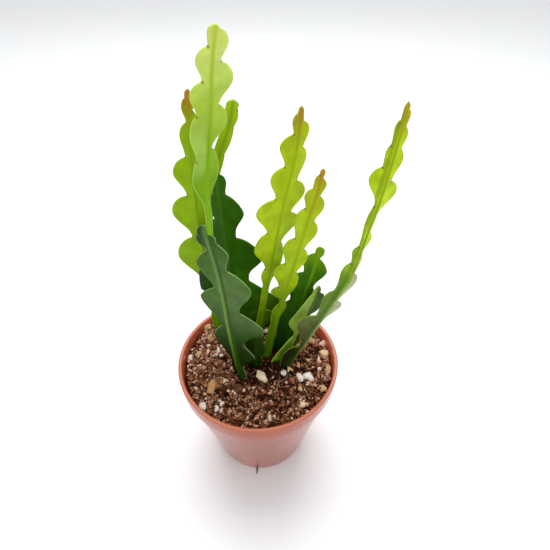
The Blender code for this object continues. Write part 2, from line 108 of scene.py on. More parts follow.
def lattice_noise(points: Array, cell: float, seed: int) -> Array:
    """Smooth noise from -1 to 1.

    Each corner of a cubic lattice has a value scrambled from its whole-number place. A point
    takes the mean of its cell's eight corners, weighted by the fade 3t^2 - 2t^3 of its place.

    Args:
        points: places, with x, y and z in the last axis.
        cell: width of a lattice cell, in the unit of the points.
        seed: picks one pattern of values.

    Returns:
        One value for each place.
    """
    scaled = np.asarray(points, dtype=float) / cell
    base = np.floor(scaled).astype(np.int64)
    part = scaled - base
    fade = part * part * (3.0 - 2.0 * part)
    total = np.zeros(scaled.shape[:-1])
    for corner in np.ndindex(2, 2, 2):
        key = base + np.array(corner)
        mixed = key[..., 0] * 73856093 ^ key[..., 1] * 19349663 ^ key[..., 2] * 83492791
        mixed = (mixed ^ seed * 2654435761) & 0xFFFFFFFF
        mixed = ((mixed ^ mixed >> 15) * 2246822519) & 0xFFFFFFFF
        mixed = ((mixed ^ mixed >> 13) * 3266489917) & 0xFFFFFFFF
        weight = np.where(np.array(corner) == 1, fade, 1.0 - fade).prod(axis=-1)
        total += weight * (mixed ^ mixed >> 16) / 0xFFFFFFFF
    return 2.0 * total - 1.0


def smooth_path(knots: Sequence[Point], samples: int = 24) -> Array:
    """A Catmull-Rom curve through the knots, with its end directions carried straight on.

    Between knots b and c, with a before and d after them, a point is
    (2b + (c - a) t + (2a - 5b + 4c - d) t^2 + (3b - a - 3c + d) t^3) / 2.

    Args:
        knots: points that the curve passes.
        samples: points on each span between two knots.

    Returns:
        The curve's points, one to a row.
    """
    points = np.array(knots, dtype=float)
    ends = np.vstack([2 * points[0] - points[1], points, 2 * points[-1] - points[-2]])
    t = np.linspace(0.0, 1.0, samples, endpoint=False)[None, :, None]
    a, b, c, d = (ends[i : len(ends) - 3 + i, None, :] for i in range(4))
    cubic = (-a + 3 * b - 3 * c + d) * t**3
    square = (2 * a - 5 * b + 4 * c - d) * t**2
    spans = 0.5 * (2 * b + (c - a) * t + square + cubic)
    return np.vstack([spans.reshape(-1, 3), points[-1:]])


def interpolate(at: Array, heights: Array, values: Array) -> Array:
    """Each column of values, read off between the heights that it is given at."""
    return np.stack([np.interp(at, heights, column) for column in values.T], axis=1)


@dataclass
class Skin:
    """Points and faces of a mesh, in millimetres, with named values at its points.

    Attributes:
        points: one row for each point.
        faces: arrays of triangles or quads, each row one face.
        values: name to one number for each point.
    """

    points: Array
    faces: list[Array]
    values: dict[str, Array] = field(default_factory=dict)

    def joined(self, other: "Skin") -> "Skin":
        """Both skins as one.

        Args:
            other: a skin with the same named values.

        Returns:
            The new skin, with this one's points first.
        """
        shift = len(self.points)
        values = {k: np.concatenate([v, other.values[k]]) for k, v in self.values.items()}
        faces = self.faces + [part + shift for part in other.faces]
        return Skin(np.vstack([self.points, other.points]), faces, values)


def tube_faces(rings: int, around: int) -> list[Array]:
    """Faces of a skin over closed rings of points, with a pole before the first and after the last.

    Ring i's point j is number 1 + i * around + j. The poles are the first and the last point.

    Args:
        rings: number of rings.
        around: points on a ring.

    Returns:
        The quads between the rings, then the triangles at the two poles.
    """
    i, j = np.meshgrid(np.arange(rings - 1), np.arange(around), indexing="ij")
    k = (j + 1) % around
    low, high = 1 + i * around, 1 + (i + 1) * around
    quads = np.stack([low + j, low + k, high + k, high + j], axis=-1).reshape(-1, 4)
    j = np.arange(around)
    k = (j + 1) % around
    last = 1 + (rings - 1) * around
    pole = np.full(around, 1 + rings * around)
    foot = np.stack([0 * j, 1 + k, 1 + j], axis=-1)
    top = np.stack([last + j, last + k, pole], axis=-1)
    return [quads, foot, top]


def make_piece(
    name: str,
    skin: Skin,
    finish: bpy.types.Material,
    smooth: bool = True,
) -> bpy.types.Object:
    """Makes a mesh object that rides on the object's only body.

    Args:
        name: the piece's name.
        skin: its points, faces and values.
        finish: its material.
        smooth: False shows each face as flat.

    Returns:
        The new object.
    """
    mesh = bpy.data.meshes.new(name)
    corners = np.concatenate([part.ravel() for part in skin.faces]).astype(np.int32)
    counts = np.concatenate([np.full(len(part), part.shape[1]) for part in skin.faces])
    mesh.vertices.add(len(skin.points))
    mesh.vertices.foreach_set("co", (skin.points * MM).astype(np.float32).ravel())
    mesh.loops.add(len(corners))
    mesh.loops.foreach_set("vertex_index", corners)
    mesh.polygons.add(len(counts))
    starts = np.concatenate([[0], np.cumsum(counts)[:-1]]).astype(np.int32)
    mesh.polygons.foreach_set("loop_start", starts)
    mesh.update(calc_edges=True)
    for key, value in skin.values.items():
        stored = mesh.attributes.new(key, "FLOAT", "POINT")
        stored.data.foreach_set("value", value.astype(np.float32))
    if smooth:
        mesh.shade_smooth()
    mesh.materials.append(finish)
    piece = bpy.data.objects.new(name, mesh)
    bpy.context.scene.collection.objects.link(piece)
    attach(piece, BODY)
    LOG.info("%s: %d faces", name, len(counts))
    return piece


# ----------------------------------------------------------
# Finishes
# ----------------------------------------------------------


# A Mix node has an A, a B and a Result for each kind of data; these are the colours' places.
MIX_FIRST, MIX_SECOND, MIX_RESULT = 6, 7, 2


class Recipe:
    """A material under construction, with short ways to add its nodes."""

    def __init__(self, name: str) -> None:
        """Starts a material with one Principled shader.

        Args:
            name: the material's name.
        """
        self.material = bpy.data.materials.new(name)
        self.material.use_nodes = True
        self.tree = self.material.node_tree
        self.shader = self.tree.nodes["Principled BSDF"]

    def feed(self, socket: Socket, value: Input) -> None:
        """Links a socket, or sets a number or colour on it.

        Args:
            socket: an input of a node.
            value: another node's output, a number or a colour.
        """
        if isinstance(value, Socket):
            self.tree.links.new(value, socket)
        elif isinstance(value, tuple) and len(value) == 3 and socket.type == "RGBA":
            socket.default_value = (*value, 1.0)
        else:
            socket.default_value = value

    def place(self) -> Socket:
        """Object coordinates, in metres."""
        return self.tree.nodes.new("ShaderNodeTexCoord").outputs["Object"]

    def attribute(self, name: str) -> Socket:
        """A value stored at the mesh's points.

        Args:
            name: the value's name on the mesh.

        Returns:
            The value.
        """
        node = self.tree.nodes.new("ShaderNodeAttribute")
        node.attribute_name = name
        return node.outputs["Fac"]

    def stretched(self, scale: Point) -> Socket:
        """Object coordinates, scaled along each axis.

        Args:
            scale: factors on x, y and z; a small one draws a pattern out along its axis.

        Returns:
            The scaled coordinates.
        """
        node = self.tree.nodes.new("ShaderNodeMapping")
        self.feed(node.inputs["Vector"], self.place())
        node.inputs["Scale"].default_value = scale
        return node.outputs["Vector"]

    def noise(self, width: float, detail: float = 3.0, vector: Socket | None = None) -> Socket:
        """Noise from 0 to 1.

        Args:
            width: rough width of its grains, in millimetres.
            detail: how many finer layers lie over it.
            vector: coordinates to use in place of the object's.

        Returns:
            The noise.
        """
        node = self.tree.nodes.new("ShaderNodeTexNoise")
        self.feed(node.inputs["Vector"], vector or self.place())
        node.inputs["Scale"].default_value = 1.0 / (width * MM)
        node.inputs["Detail"].default_value = detail
        return node.outputs["Fac"]

    def cells(self, width: float) -> Socket:
        """Distance to the nearest of scattered spots.

        Args:
            width: rough distance between spots, in millimetres.

        Returns:
            The distance, in units of the width.
        """
        node = self.tree.nodes.new("ShaderNodeTexVoronoi")
        self.feed(node.inputs["Vector"], self.place())
        node.inputs["Scale"].default_value = 1.0 / (width * MM)
        return node.outputs["Distance"]

    def remap(
        self,
        value: Input,
        low: float,
        high: float,
        start: float = 0.0,
        end: float = 1.0,
    ) -> Socket:
        """A value that goes smoothly from start to end, and stays level beyond them.

        Args:
            value: what it follows.
            low: where it leaves the start.
            high: where it reaches the end.
            start: what it is at low.
            end: what it is at high.

        Returns:
            The new value.
        """
        node = self.tree.nodes.new("ShaderNodeMapRange")
        node.interpolation_type = "SMOOTHSTEP"
        self.feed(node.inputs["Value"], value)
        limits = {"From Min": low, "From Max": high, "To Min": start, "To Max": end}
        for key, number in limits.items():
            node.inputs[key].default_value = number
        return node.outputs["Result"]

    def maths(self, operation: str, a: Input, b: Input) -> Socket:
        """Arithmetic on two values.

        Args:
            operation: MULTIPLY, ADD or SUBTRACT.
            a: the first value.
            b: the second value.

        Returns:
            The result.
        """
        node = self.tree.nodes.new("ShaderNodeMath")
        node.operation = operation
        self.feed(node.inputs[0], a)
        self.feed(node.inputs[1], b)
        return node.outputs["Value"]

    def ramp(self, value: Socket, stops: Stops) -> Socket:
        """A colour that runs through the stops as the value goes from 0 to 1.

        Args:
            value: what it follows.
            stops: places from 0 to 1, each with its colour.

        Returns:
            The colour.
        """
        node = self.tree.nodes.new("ShaderNodeValToRGB")
        self.feed(node.inputs["Fac"], value)
        elements = node.color_ramp.elements
        while len(elements) < len(stops):
            elements.new(1.0)
        for element, (place, colour) in zip(elements, stops):
            element.position = place
            element.color = (*colour, 1.0)
        return node.outputs["Color"]

    def blend(self, share: Input, first: Input, second: Input, how: str = "MIX") -> Socket:
        """The first colour, turned into the second by a share from 0 to 1.

        Args:
            share: how much of the second shows.
            first: the colour underneath.
            second: the colour on top.
            how: MIX covers the first, and MULTIPLY multiplies the two.

        Returns:
            The blended colour.
        """
        node = self.tree.nodes.new("ShaderNodeMix")
        node.data_type = "RGBA"
        node.blend_type = how
        self.feed(node.inputs["Factor"], share)
        self.feed(node.inputs[MIX_FIRST], first)
        self.feed(node.inputs[MIX_SECOND], second)
        return node.outputs[MIX_RESULT]

    def bump(
        self,
        height: Socket,
        depth: float,
        strength: float = 1.0,
        normal: Socket | None = None,
    ) -> Socket:
        """A fine relief.

        Args:
            height: the pattern that raises and lowers the surface.
            depth: its depth, in millimetres.
            strength: how much of it shows, 0 to 1.
            normal: another relief that it lies on.

        Returns:
            The normal.
        """
        node = self.tree.nodes.new("ShaderNodeBump")
        node.inputs["Strength"].default_value = strength
        node.inputs["Distance"].default_value = depth * MM
        self.feed(node.inputs["Height"], height)
        if normal is not None:
            self.feed(node.inputs["Normal"], normal)
        return node.outputs["Normal"]

    def finish(
        self,
        colour: Input,
        roughness: Input,
        normal: Socket | None = None,
        **constants: float | Point,
    ) -> bpy.types.Material:
        """Feeds the shader and hands over the material.

        Args:
            colour: its base colour.
            roughness: its roughness.
            normal: its relief.
            constants: its other inputs by name, with _ for a space.

        Returns:
            The finished material.
        """
        self.feed(self.shader.inputs["Base Color"], colour)
        self.feed(self.shader.inputs["Roughness"], roughness)
        if normal is not None:
            self.feed(self.shader.inputs["Normal"], normal)
        for key, value in constants.items():
            self.feed(self.shader.inputs[key.replace("_", " ")], value)
        return self.material


FURROW_SHADE = rgb(40, 86, 4)  # painted shade: the shaded line beside a midrib
SPECK = rgb(176, 196, 120)  # pale pores all over the skin
NOTCH_SHADE = rgb(84, 74, 30)  # painted shade in the notch round an areole


@dataclass(frozen=True)
class Patch:
    """A part of a stem's skin recoloured within soft limits; some are its own colour, some painted
    light and shade.

    Attributes:
        colour: the patch's colour.
        share: how much of it shows, 0 to 1.
        run: where it starts and ends along the stem, 0 at the surface and 1 at the tip.
        side: where it starts and ends across it, -1 at the left margin and 1 at the right one.
        blur: width of its soft limits along the stem.
    """

    colour: Colour
    share: float = 1.0
    run: tuple[float, float] = (-1.0, 2.0)
    side: tuple[float, float] = (-2.0, 2.0)
    blur: float = 0.08


@dataclass(frozen=True)
class StemFinish:
    """Waxy, slightly translucent skin of a stem, coloured along its length.

    Attributes:
        name: the material's name.
        flesh: colours of the lobes, as places along the stem from foot to tip.
        midrib: colours of the midrib, in the same way.
        margin: colour of the horny edge.
        patches: recoloured parts; some are the skin's own colour, some painted light and shade.
        furrow_shade: share of the painted shade along one side of the midrib, the shaded line beside
            it.
        furrow_shade_side: 1 puts that painted shade on the right, -1 on the left.
        mottle: how much lighter and darker the skin's clouds are.
        midrib_width: half-width of the coloured midrib, in millimetres.
        margin_width: width of the coloured edge, in millimetres.
        margin_share: how much of the edge's colour shows, 0 to 1.
        glow: how much light the flesh lets through, 0 to 1.
        gloss: roughness of the skin.
        shine: strength of its reflections.
    """

    name: str
    flesh: Stops
    midrib: Stops
    margin: Colour
    patches: tuple[Patch, ...] = ()
    furrow_shade: float = 0.0
    furrow_shade_side: float = 1.0
    mottle: float = 0.1
    midrib_width: float = 1.5
    margin_width: float = 0.55
    margin_share: float = 0.55
    glow: float = 0.4
    gloss: float = 0.38
    shine: float = 0.14

    def material(self) -> bpy.types.Material:
        """Builds the material from the values run, rib, side, edge and notch on the mesh.

        Returns:
            The finished material.
        """
        r = Recipe(self.name)
        run = r.attribute("run")
        rib = r.attribute("rib")
        uneven = r.noise(22.0, 2.0)
        shifted = r.maths("ADD", run, r.remap(uneven, 0.3, 0.7, -0.02, 0.02))
        colour = r.ramp(shifted, self.flesh)
        for patch in self.patches:
            colour = r.blend(self.limits(r, shifted, patch), colour, patch.colour)
        cloud = r.remap(r.noise(7.0, 4.0), 0.3, 0.7, 1.0 - self.mottle, 1.0 + self.mottle)
        colour = r.blend(1.0, colour, self.grey(r, cloud), "MULTIPLY")
        # painted shade: a dark line along one side of the midrib, as beside a ridge
        if self.furrow_shade > 0.0:
            beside = r.maths("MULTIPLY", r.remap(rib, 0.7, 1.4), r.remap(rib, 2.2, 3.4, 1.0, 0.0))
            flank = r.remap(r.attribute("side"), 0.0, 0.02 * self.furrow_shade_side, 0.0, self.furrow_shade)
            colour = r.blend(r.maths("MULTIPLY", beside, flank), colour, FURROW_SHADE)
        rib_share = r.remap(rib, 0.15 * self.midrib_width, self.midrib_width, 1.0, 0.0)
        colour = r.blend(rib_share, colour, r.ramp(shifted, self.midrib))
        edge = r.attribute("edge")
        edge_share = r.remap(edge, 0.1, self.margin_width, self.margin_share, 0.0)
        colour = r.blend(edge_share, colour, self.margin)
        specks = r.remap(r.cells(1.6), 0.05, 0.14, 0.12, 0.0)
        colour = r.blend(specks, colour, SPECK)
        # painted shade: each notch darkens to brown round its areole
        spot = r.remap(r.attribute("notch"), 0.2, 0.9, 0.5, 0.0)
        colour = r.blend(spot, colour, NOTCH_SHADE)
        gloss = r.remap(r.noise(3.0, 3.0), 0.3, 0.7, self.gloss - 0.06, self.gloss + 0.08)
        relief = r.bump(r.noise(6.0, 3.0), 0.25, 0.35)
        relief = r.bump(r.noise(0.7, 2.0), 0.05, 0.3, relief)
        return r.finish(
            colour,
            gloss,
            relief,
            IOR=1.45,
            Specular_IOR_Level=self.shine,
            Subsurface_Weight=self.glow,
            Subsurface_Radius=(0.7, 1.0, 0.1),
            Subsurface_Scale=1.6 * MM,
        )

    @staticmethod
    def limits(r: Recipe, run: Socket, patch: Patch) -> Socket:
        """How much of a patch shows at each point.

        Args:
            r: the material under construction.
            run: place along the stem.
            patch: the patch.

        Returns:
            Its share inside its limits, falling off smoothly to 0 outside them.
        """
        blur = patch.blur
        side_blur = 0.1
        side = r.attribute("side")
        share = r.remap(run, patch.run[0] - blur, patch.run[0] + blur, 0.0, patch.share)
        ends = r.remap(run, patch.run[1] - blur, patch.run[1] + blur, 1.0, 0.0)
        share = r.maths("MULTIPLY", share, ends)
        starts = r.remap(side, patch.side[0] - side_blur, patch.side[0] + side_blur)
        share = r.maths("MULTIPLY", share, starts)
        stops = r.remap(side, patch.side[1] - side_blur, patch.side[1] + side_blur, 1.0, 0.0)
        return r.maths("MULTIPLY", share, stops)

    @staticmethod
    def grey(r: Recipe, value: Socket) -> Socket:
        """A value as a grey colour.

        Args:
            r: the material under construction.
            value: how light it is.

        Returns:
            The colour.
        """
        node = r.tree.nodes.new("ShaderNodeCombineColor")
        for key in ("Red", "Green", "Blue"):
            r.feed(node.inputs[key], value)
        return node.outputs["Color"]


@dataclass(frozen=True)
class PotFinish:
    """Glossy terracotta-coloured moulded plastic with a little dust.

    Attributes:
        name: the material's name.
        wall: colour of the wall.
        deep: its second, slightly darker colour.
        inside: colour of the inside of the wall, painted lighter for the little light that reaches it.
        lip: colour of the rim's top, a painted highlight where it catches the light.
        dust: colour of the dust.
        gloss: roughness.
        shine: strength of the wall's own reflections.
        coat: strength of the glossy skin that shines at a slant.
        coat_index: its refractive index; a low one shines at a slant alone.
        base_radius: outer radius of the wall at the foot, in millimetres.
        taper: how much the radius grows for each unit of height.
        lip_start: height at which the lip's colour starts, in millimetres.
        lip_full: height at which it shows in full.
    """

    name: str = "terracotta_plastic_wall"
    wall: Colour = rgb(168, 68, 24)
    deep: Colour = rgb(156, 62, 22)
    inside: Colour = rgb(200, 96, 66)
    lip: Colour = rgb(184, 102, 70)
    dust: Colour = rgb(214, 170, 146)
    gloss: float = 0.3
    shine: float = 0.25
    coat: float = 1.0
    coat_index: float = 1.34
    base_radius: float = 33.2
    taper: float = 0.215
    lip_start: float = 88.4
    lip_full: float = 89.8

    def material(self) -> bpy.types.Material:
        """Builds the material: faint clouds, moulding lines round the pot and fine grain.

        The distance from the axis less the taper's share of the height is the radius at the
        foot, smaller inside the wall than outside it, which tells the two sides apart.

        Returns:
            The finished material.
        """
        r = Recipe(self.name)
        clouds = r.remap(r.noise(30.0, 2.0), 0.35, 0.65)
        colour = r.blend(clouds, self.wall, self.deep)
        height = r.tree.nodes.new("ShaderNodeSeparateXYZ")
        r.feed(height.inputs["Vector"], r.place())
        radius = r.tree.nodes.new("ShaderNodeVectorMath")
        radius.operation = "LENGTH"
        r.feed(radius.inputs[0], r.stretched((1.0, 1.0, 0.0)))
        taper = r.maths("MULTIPLY", height.outputs["Z"], self.taper)
        depth = r.maths("SUBTRACT", radius.outputs["Value"], taper)
        # painted light: the inside of the wall takes a lighter colour
        hidden = r.remap(depth, (self.base_radius - 0.4) * MM, (self.base_radius - 0.8) * MM)
        colour = r.blend(hidden, colour, self.inside)
        # painted highlight: the rim's top turns lighter
        high = r.remap(height.outputs["Z"], self.lip_start * MM, self.lip_full * MM, 0.0, 0.9)
        colour = r.blend(high, colour, self.lip)
        dust = r.remap(r.noise(1.6, 4.0), 0.66, 0.8, 0.0, 0.1)
        colour = r.blend(dust, colour, self.dust)
        rings = r.noise(1.4, 1.0, r.stretched((0.02, 0.02, 1.0)))
        gloss = r.remap(r.noise(24.0, 2.0), 0.3, 0.75, self.gloss - 0.03, self.gloss + 0.06)
        relief = r.bump(rings, 0.03, 0.2)
        relief = r.bump(r.noise(0.5, 2.0), 0.01, 0.2, relief)
        return r.finish(
            colour,
            gloss,
            relief,
            IOR=1.5,
            Specular_IOR_Level=self.shine,
            Coat_Weight=self.coat,
            Coat_IOR=self.coat_index,
            Coat_Roughness=self.gloss,
            Subsurface_Weight=0.12,
            Subsurface_Radius=(1.0, 0.35, 0.2),
            Subsurface_Scale=1.5 * MM,
        )


@dataclass(frozen=True)
class CrumbFinish:
    """Rough earthy grain whose colour comes from each crumb's own tone.

    Attributes:
        name: the material's name.
        tones: colours from the darkest crumb to the palest.
        grain: width of the grain on a crumb, in millimetres.
        depth: depth of that grain.
        moisture: roughness; a lower one looks damp.
        grooves: depth of long grooves, as between the layers of bark, in millimetres; they are also
            painted darker, as painted shade.
    """

    name: str
    tones: Stops
    grain: float = 0.6
    depth: float = 0.25
    moisture: float = 0.85
    grooves: float = 0.0

    def material(self) -> bpy.types.Material:
        """Builds the material from the value tone on the mesh.

        Returns:
            The finished material.
        """
        r = Recipe(self.name)
        fine = r.noise(self.grain, 4.0)
        tone = r.maths("ADD", r.attribute("tone"), r.remap(fine, 0.25, 0.75, -0.13, 0.13))
        colour = r.ramp(tone, self.tones)
        relief = r.bump(fine, self.depth, 0.8)
        if self.grooves > 0.0:
            layers = r.noise(0.9, 2.0, r.stretched((0.22, 0.7, 1.0)))
            # painted shade: the grooves between the bark's layers darken towards the darkest tone
            colour = r.blend(r.remap(layers, 0.52, 0.4, 0.0, 0.6), colour, self.tones[0][1])
            relief = r.bump(layers, self.grooves, 1.0, relief)
        gloss = r.remap(r.noise(2.0, 2.0), 0.3, 0.7, self.moisture - 0.12, self.moisture + 0.1)
        return r.finish(colour, gloss, relief, Specular_IOR_Level=0.1)


EARTH_TONES = shades(
    (0.0, 24, 8, 2), (0.22, 84, 42, 23), (0.45, 138, 87, 59), (0.65, 172, 119, 89),
    (0.85, 210, 166, 136), (1.0, 240, 214, 190),
)
EARTH = CrumbFinish("peat_crumb", EARTH_TONES)
BARK = CrumbFinish(
    "bark_chip",
    tones=shades((0.0, 38, 17, 11), (0.35, 88, 52, 37), (0.65, 136, 92, 70), (1.0, 196, 154, 122)),
    grain=0.7,
    depth=0.4,
    grooves=1.2,
)
PERLITE = CrumbFinish(
    "perlite_grain",
    tones=shades((0.0, 196, 164, 138), (0.35, 236, 220, 204), (1.0, 252, 248, 242)),
    grain=0.5,
    depth=0.2,
)
PUMICE = CrumbFinish(
    "pumice_stone",
    tones=shades(
        (0.0, 170, 124, 74), (0.35, 206, 168, 122), (0.7, 236, 214, 178), (1.0, 248, 238, 216),
    ),
    grain=0.9,
    depth=0.5,
)
FIBRE = CrumbFinish(
    "coir_fibre",
    tones=shades((0.0, 60, 32, 20), (0.5, 140, 96, 66), (1.0, 206, 168, 132)),
    grain=0.5,
    depth=0.05,
)
FELT = CrumbFinish(
    "areole_felt",
    tones=shades((0.0, 88, 66, 34), (0.5, 140, 116, 70), (1.0, 204, 190, 150)),
    grain=0.3,
    depth=0.05,
)

FINISHES: dict[str, StemFinish] = {
    "front_cutting": StemFinish(
        "front_cutting_skin",
        # the flesh near black at the foot is partly painted shade of the crowded base
        flesh=shades(
            (0.0, 6, 20, 0), (0.2, 16, 38, 0), (0.4, 44, 78, 14), (0.65, 78, 112, 36),
            (1.0, 56, 90, 22),
        ),
        midrib=shades(
            (0.0, 34, 70, 0), (0.2, 72, 110, 18), (0.4, 110, 142, 56), (0.65, 108, 140, 66),
            (1.0, 88, 122, 54),
        ),
        midrib_width=1.5,
        margin=rgb(150, 184, 120),
        margin_width=0.4,
        margin_share=0.4,
        furrow_shade=0.7,
        glow=0.12,
        gloss=0.42,
        shine=0.16,
        mottle=0.16,
        patches=(
            # painted sheen: a grey haze over the right-hand lobes, for the sky's reflection
            Patch(rgb(92, 116, 72), 0.4, run=(0.42, 0.86), side=(0.12, 2.0), blur=0.06),
            Patch(rgb(64, 102, 26), 0.5, run=(0.6, 0.8), side=(-0.9, -0.05), blur=0.05),
            # painted shade: the curled top-left lobe, near black as in shade
            Patch(rgb(22, 46, 14), 0.85, run=(0.86, 2.0), side=(-2.0, -0.45), blur=0.03),
            # painted shade: the lower right-hand lobes, darkened as in the shade at the clump's foot
            Patch(rgb(28, 54, 10), 0.6, run=(-1.0, 0.3), side=(0.25, 2.0), blur=0.1),
        ),
    ),
    "tall_shoot": StemFinish(
        "tall_shoot_skin",
        flesh=shades(
            (0.0, 112, 158, 0), (0.3, 118, 164, 8), (0.5, 146, 184, 44), (0.7, 172, 200, 70),
            (0.88, 206, 220, 116), (1.0, 210, 214, 106),
        ),
        midrib=shades(
            (0.0, 130, 174, 20), (0.5, 124, 168, 16), (0.75, 160, 192, 50), (1.0, 186, 204, 70),
        ),
        margin=rgb(176, 206, 96),
        margin_share=0.35,
        glow=0.5,
        patches=(
            # painted reflection: the left half made pale where it mirrors the sky
            Patch(rgb(176, 206, 116), 0.4, run=(0.36, 0.6), side=(-2.0, -0.2), blur=0.08),
        ),
    ),
    "left_shoot": StemFinish(
        "left_shoot_skin",
        flesh=shades(
            (0.0, 92, 140, 0), (0.5, 146, 184, 0), (0.88, 144, 180, 0), (0.95, 154, 160, 0),
            (0.98, 170, 136, 10), (1.0, 184, 124, 54),
        ),
        midrib=shades(
            (0.0, 96, 146, 0), (0.6, 118, 164, 0), (0.9, 140, 168, 0), (0.96, 160, 142, 4),
            (1.0, 184, 120, 48),
        ),
        margin=rgb(124, 154, 4),
        glow=0.5,
    ),
    "slim_shoot": StemFinish(
        "slim_shoot_skin",
        flesh=shades(
            (0.0, 110, 140, 4), (0.6, 118, 144, 8), (0.78, 142, 176, 0), (1.0, 162, 190, 2),
        ),
        midrib=shades((0.0, 120, 152, 10), (0.6, 112, 138, 8), (1.0, 136, 168, 0)),
        margin=rgb(116, 148, 10),
        glow=0.45,
    ),
    "back_cutting": StemFinish(
        "back_cutting_skin",
        flesh=shades((0.0, 44, 86, 0), (0.3, 44, 92, 0), (0.7, 48, 92, 0), (1.0, 54, 98, 4)),
        midrib=shades((0.0, 66, 106, 2), (0.5, 58, 100, 6), (1.0, 66, 104, 22)),
        margin=rgb(84, 124, 30),
        margin_share=0.5,
        glow=0.15,
        gloss=0.42,
        shine=0.12,
        mottle=0.15,
        patches=(
            Patch(rgb(84, 122, 30), 0.85, run=(0.16, 0.34), side=(0.45, 2.0), blur=0.03),
            Patch(rgb(66, 116, 4), 0.55, run=(0.34, 0.5), side=(0.2, 2.0), blur=0.05),
            Patch(rgb(34, 62, 12), 0.7, run=(-1.0, 0.55), side=(-2.0, -0.5), blur=0.03),
        ),
    ),
    "centre_shoot": StemFinish(
        "centre_shoot_skin",
        # the flesh darkens towards the foot, partly as painted shade where it stands in the clump
        flesh=shades(
            (0.0, 52, 86, 0), (0.18, 84, 124, 6), (0.3, 132, 172, 24), (0.42, 162, 190, 20),
            (0.6, 178, 200, 26), (0.88, 170, 194, 20), (0.95, 160, 166, 26), (1.0, 164, 140, 46),
        ),
        midrib=shades(
            (0.0, 60, 96, 0), (0.3, 126, 160, 12), (0.6, 150, 182, 0), (0.86, 158, 176, 0),
            (0.95, 162, 142, 14), (1.0, 166, 128, 38),
        ),
        margin=rgb(156, 180, 20),
        glow=0.5,
        mottle=0.12,
    ),
    "short_shoot": StemFinish(
        "short_shoot_skin",
        # the flesh darkens towards the foot, partly as painted shade where it stands in the clump
        flesh=shades(
            (0.0, 62, 96, 0), (0.2, 92, 132, 14), (0.36, 132, 168, 18), (0.5, 172, 200, 28),
            (0.8, 176, 200, 30), (0.93, 170, 172, 26), (1.0, 186, 134, 42),
        ),
        midrib=shades(
            (0.0, 62, 98, 0), (0.4, 136, 170, 6), (0.7, 158, 186, 6), (0.88, 164, 158, 12),
            (1.0, 190, 124, 34),
        ),
        margin=rgb(154, 176, 20),
        glow=0.5,
    ),
    "right_stem": StemFinish(
        "right_stem_skin",
        flesh=shades(
            (0.0, 38, 44, 18), (0.09, 36, 38, 16), (0.15, 56, 54, 28), (0.22, 88, 90, 58),
            (0.34, 102, 128, 60), (0.46, 110, 152, 34), (0.66, 196, 222, 44), (0.92, 172, 202, 6),
            (1.0, 180, 160, 30),
        ),
        midrib=shades(
            (0.0, 60, 78, 30), (0.2, 110, 136, 60), (0.4, 150, 180, 96), (0.52, 116, 152, 16),
            (0.7, 134, 166, 0), (0.92, 158, 168, 0), (1.0, 186, 146, 20),
        ),
        margin=rgb(132, 168, 50),
        glow=0.4,
        midrib_width=1.1,
        furrow_shade=0.35,
        furrow_shade_side=-1.0,
        mottle=0.18,
        patches=(
            # painted light: the right-hand lobes pale grey-beige, as lit from behind
            Patch(rgb(172, 168, 134), 0.85, run=(0.17, 0.56), side=(0.3, 2.0), blur=0.05),
            Patch(rgb(24, 36, 14), 0.6, run=(-1.0, 0.1), side=(0.1, 2.0), blur=0.05),
        ),
    ),
    "back_right_cutting": StemFinish(
        "back_right_cutting_skin",
        flesh=shades(
            (0.0, 24, 60, 0), (0.35, 32, 74, 0), (0.6, 44, 92, 0), (0.8, 78, 128, 6),
            (1.0, 128, 168, 14),
        ),
        midrib=shades(
            (0.0, 36, 78, 0), (0.5, 60, 110, 2), (0.75, 110, 158, 20), (1.0, 124, 162, 20),
        ),
        margin=rgb(76, 124, 10),
        glow=0.22,
        gloss=0.42,
        shine=0.12,
        mottle=0.16,
        patches=(
            Patch(rgb(66, 116, 6), 0.5, run=(0.35, 0.9), side=(-0.7, -0.1), blur=0.1),
        ),
    ),
    "turned_shoot": StemFinish(
        "turned_shoot_skin",
        flesh=shades(
            (0.0, 100, 150, 20), (0.5, 142, 176, 66), (0.9, 152, 180, 84), (1.0, 140, 134, 90),
        ),
        # painted shade: the midrib dark, along the shaded right half
        midrib=shades((0.0, 30, 66, 18), (0.5, 30, 70, 24), (1.0, 100, 120, 40)),
        margin=rgb(160, 192, 90),
        glow=0.35,
        shine=0.05,
        mottle=0.16,
        patches=(
            # painted shade: the right half, in shade, near-black green
            Patch(rgb(30, 72, 0), 0.9, side=(0.12, 2.0)),
        ),
    ),
    "stub_cutting": StemFinish(
        "stub_cutting_skin",
        flesh=shades((0.0, 40, 76, 0), (1.0, 48, 90, 2)),
        midrib=shades((0.0, 50, 86, 0), (1.0, 60, 100, 4)),
        margin=rgb(70, 112, 16),
        glow=0.2,
        gloss=0.42,
    ),
    "old_stump": StemFinish(
        "old_stump_skin",
        flesh=shades((0.0, 26, 44, 4), (0.6, 36, 62, 6), (1.0, 40, 68, 8)),
        midrib=shades((0.0, 34, 54, 6), (1.0, 46, 76, 12)),
        margin=rgb(60, 88, 24),
        margin_share=0.4,
        glow=0.12,
        gloss=0.42,
    ),
}


# ----------------------------------------------------------
# Stems
# ----------------------------------------------------------


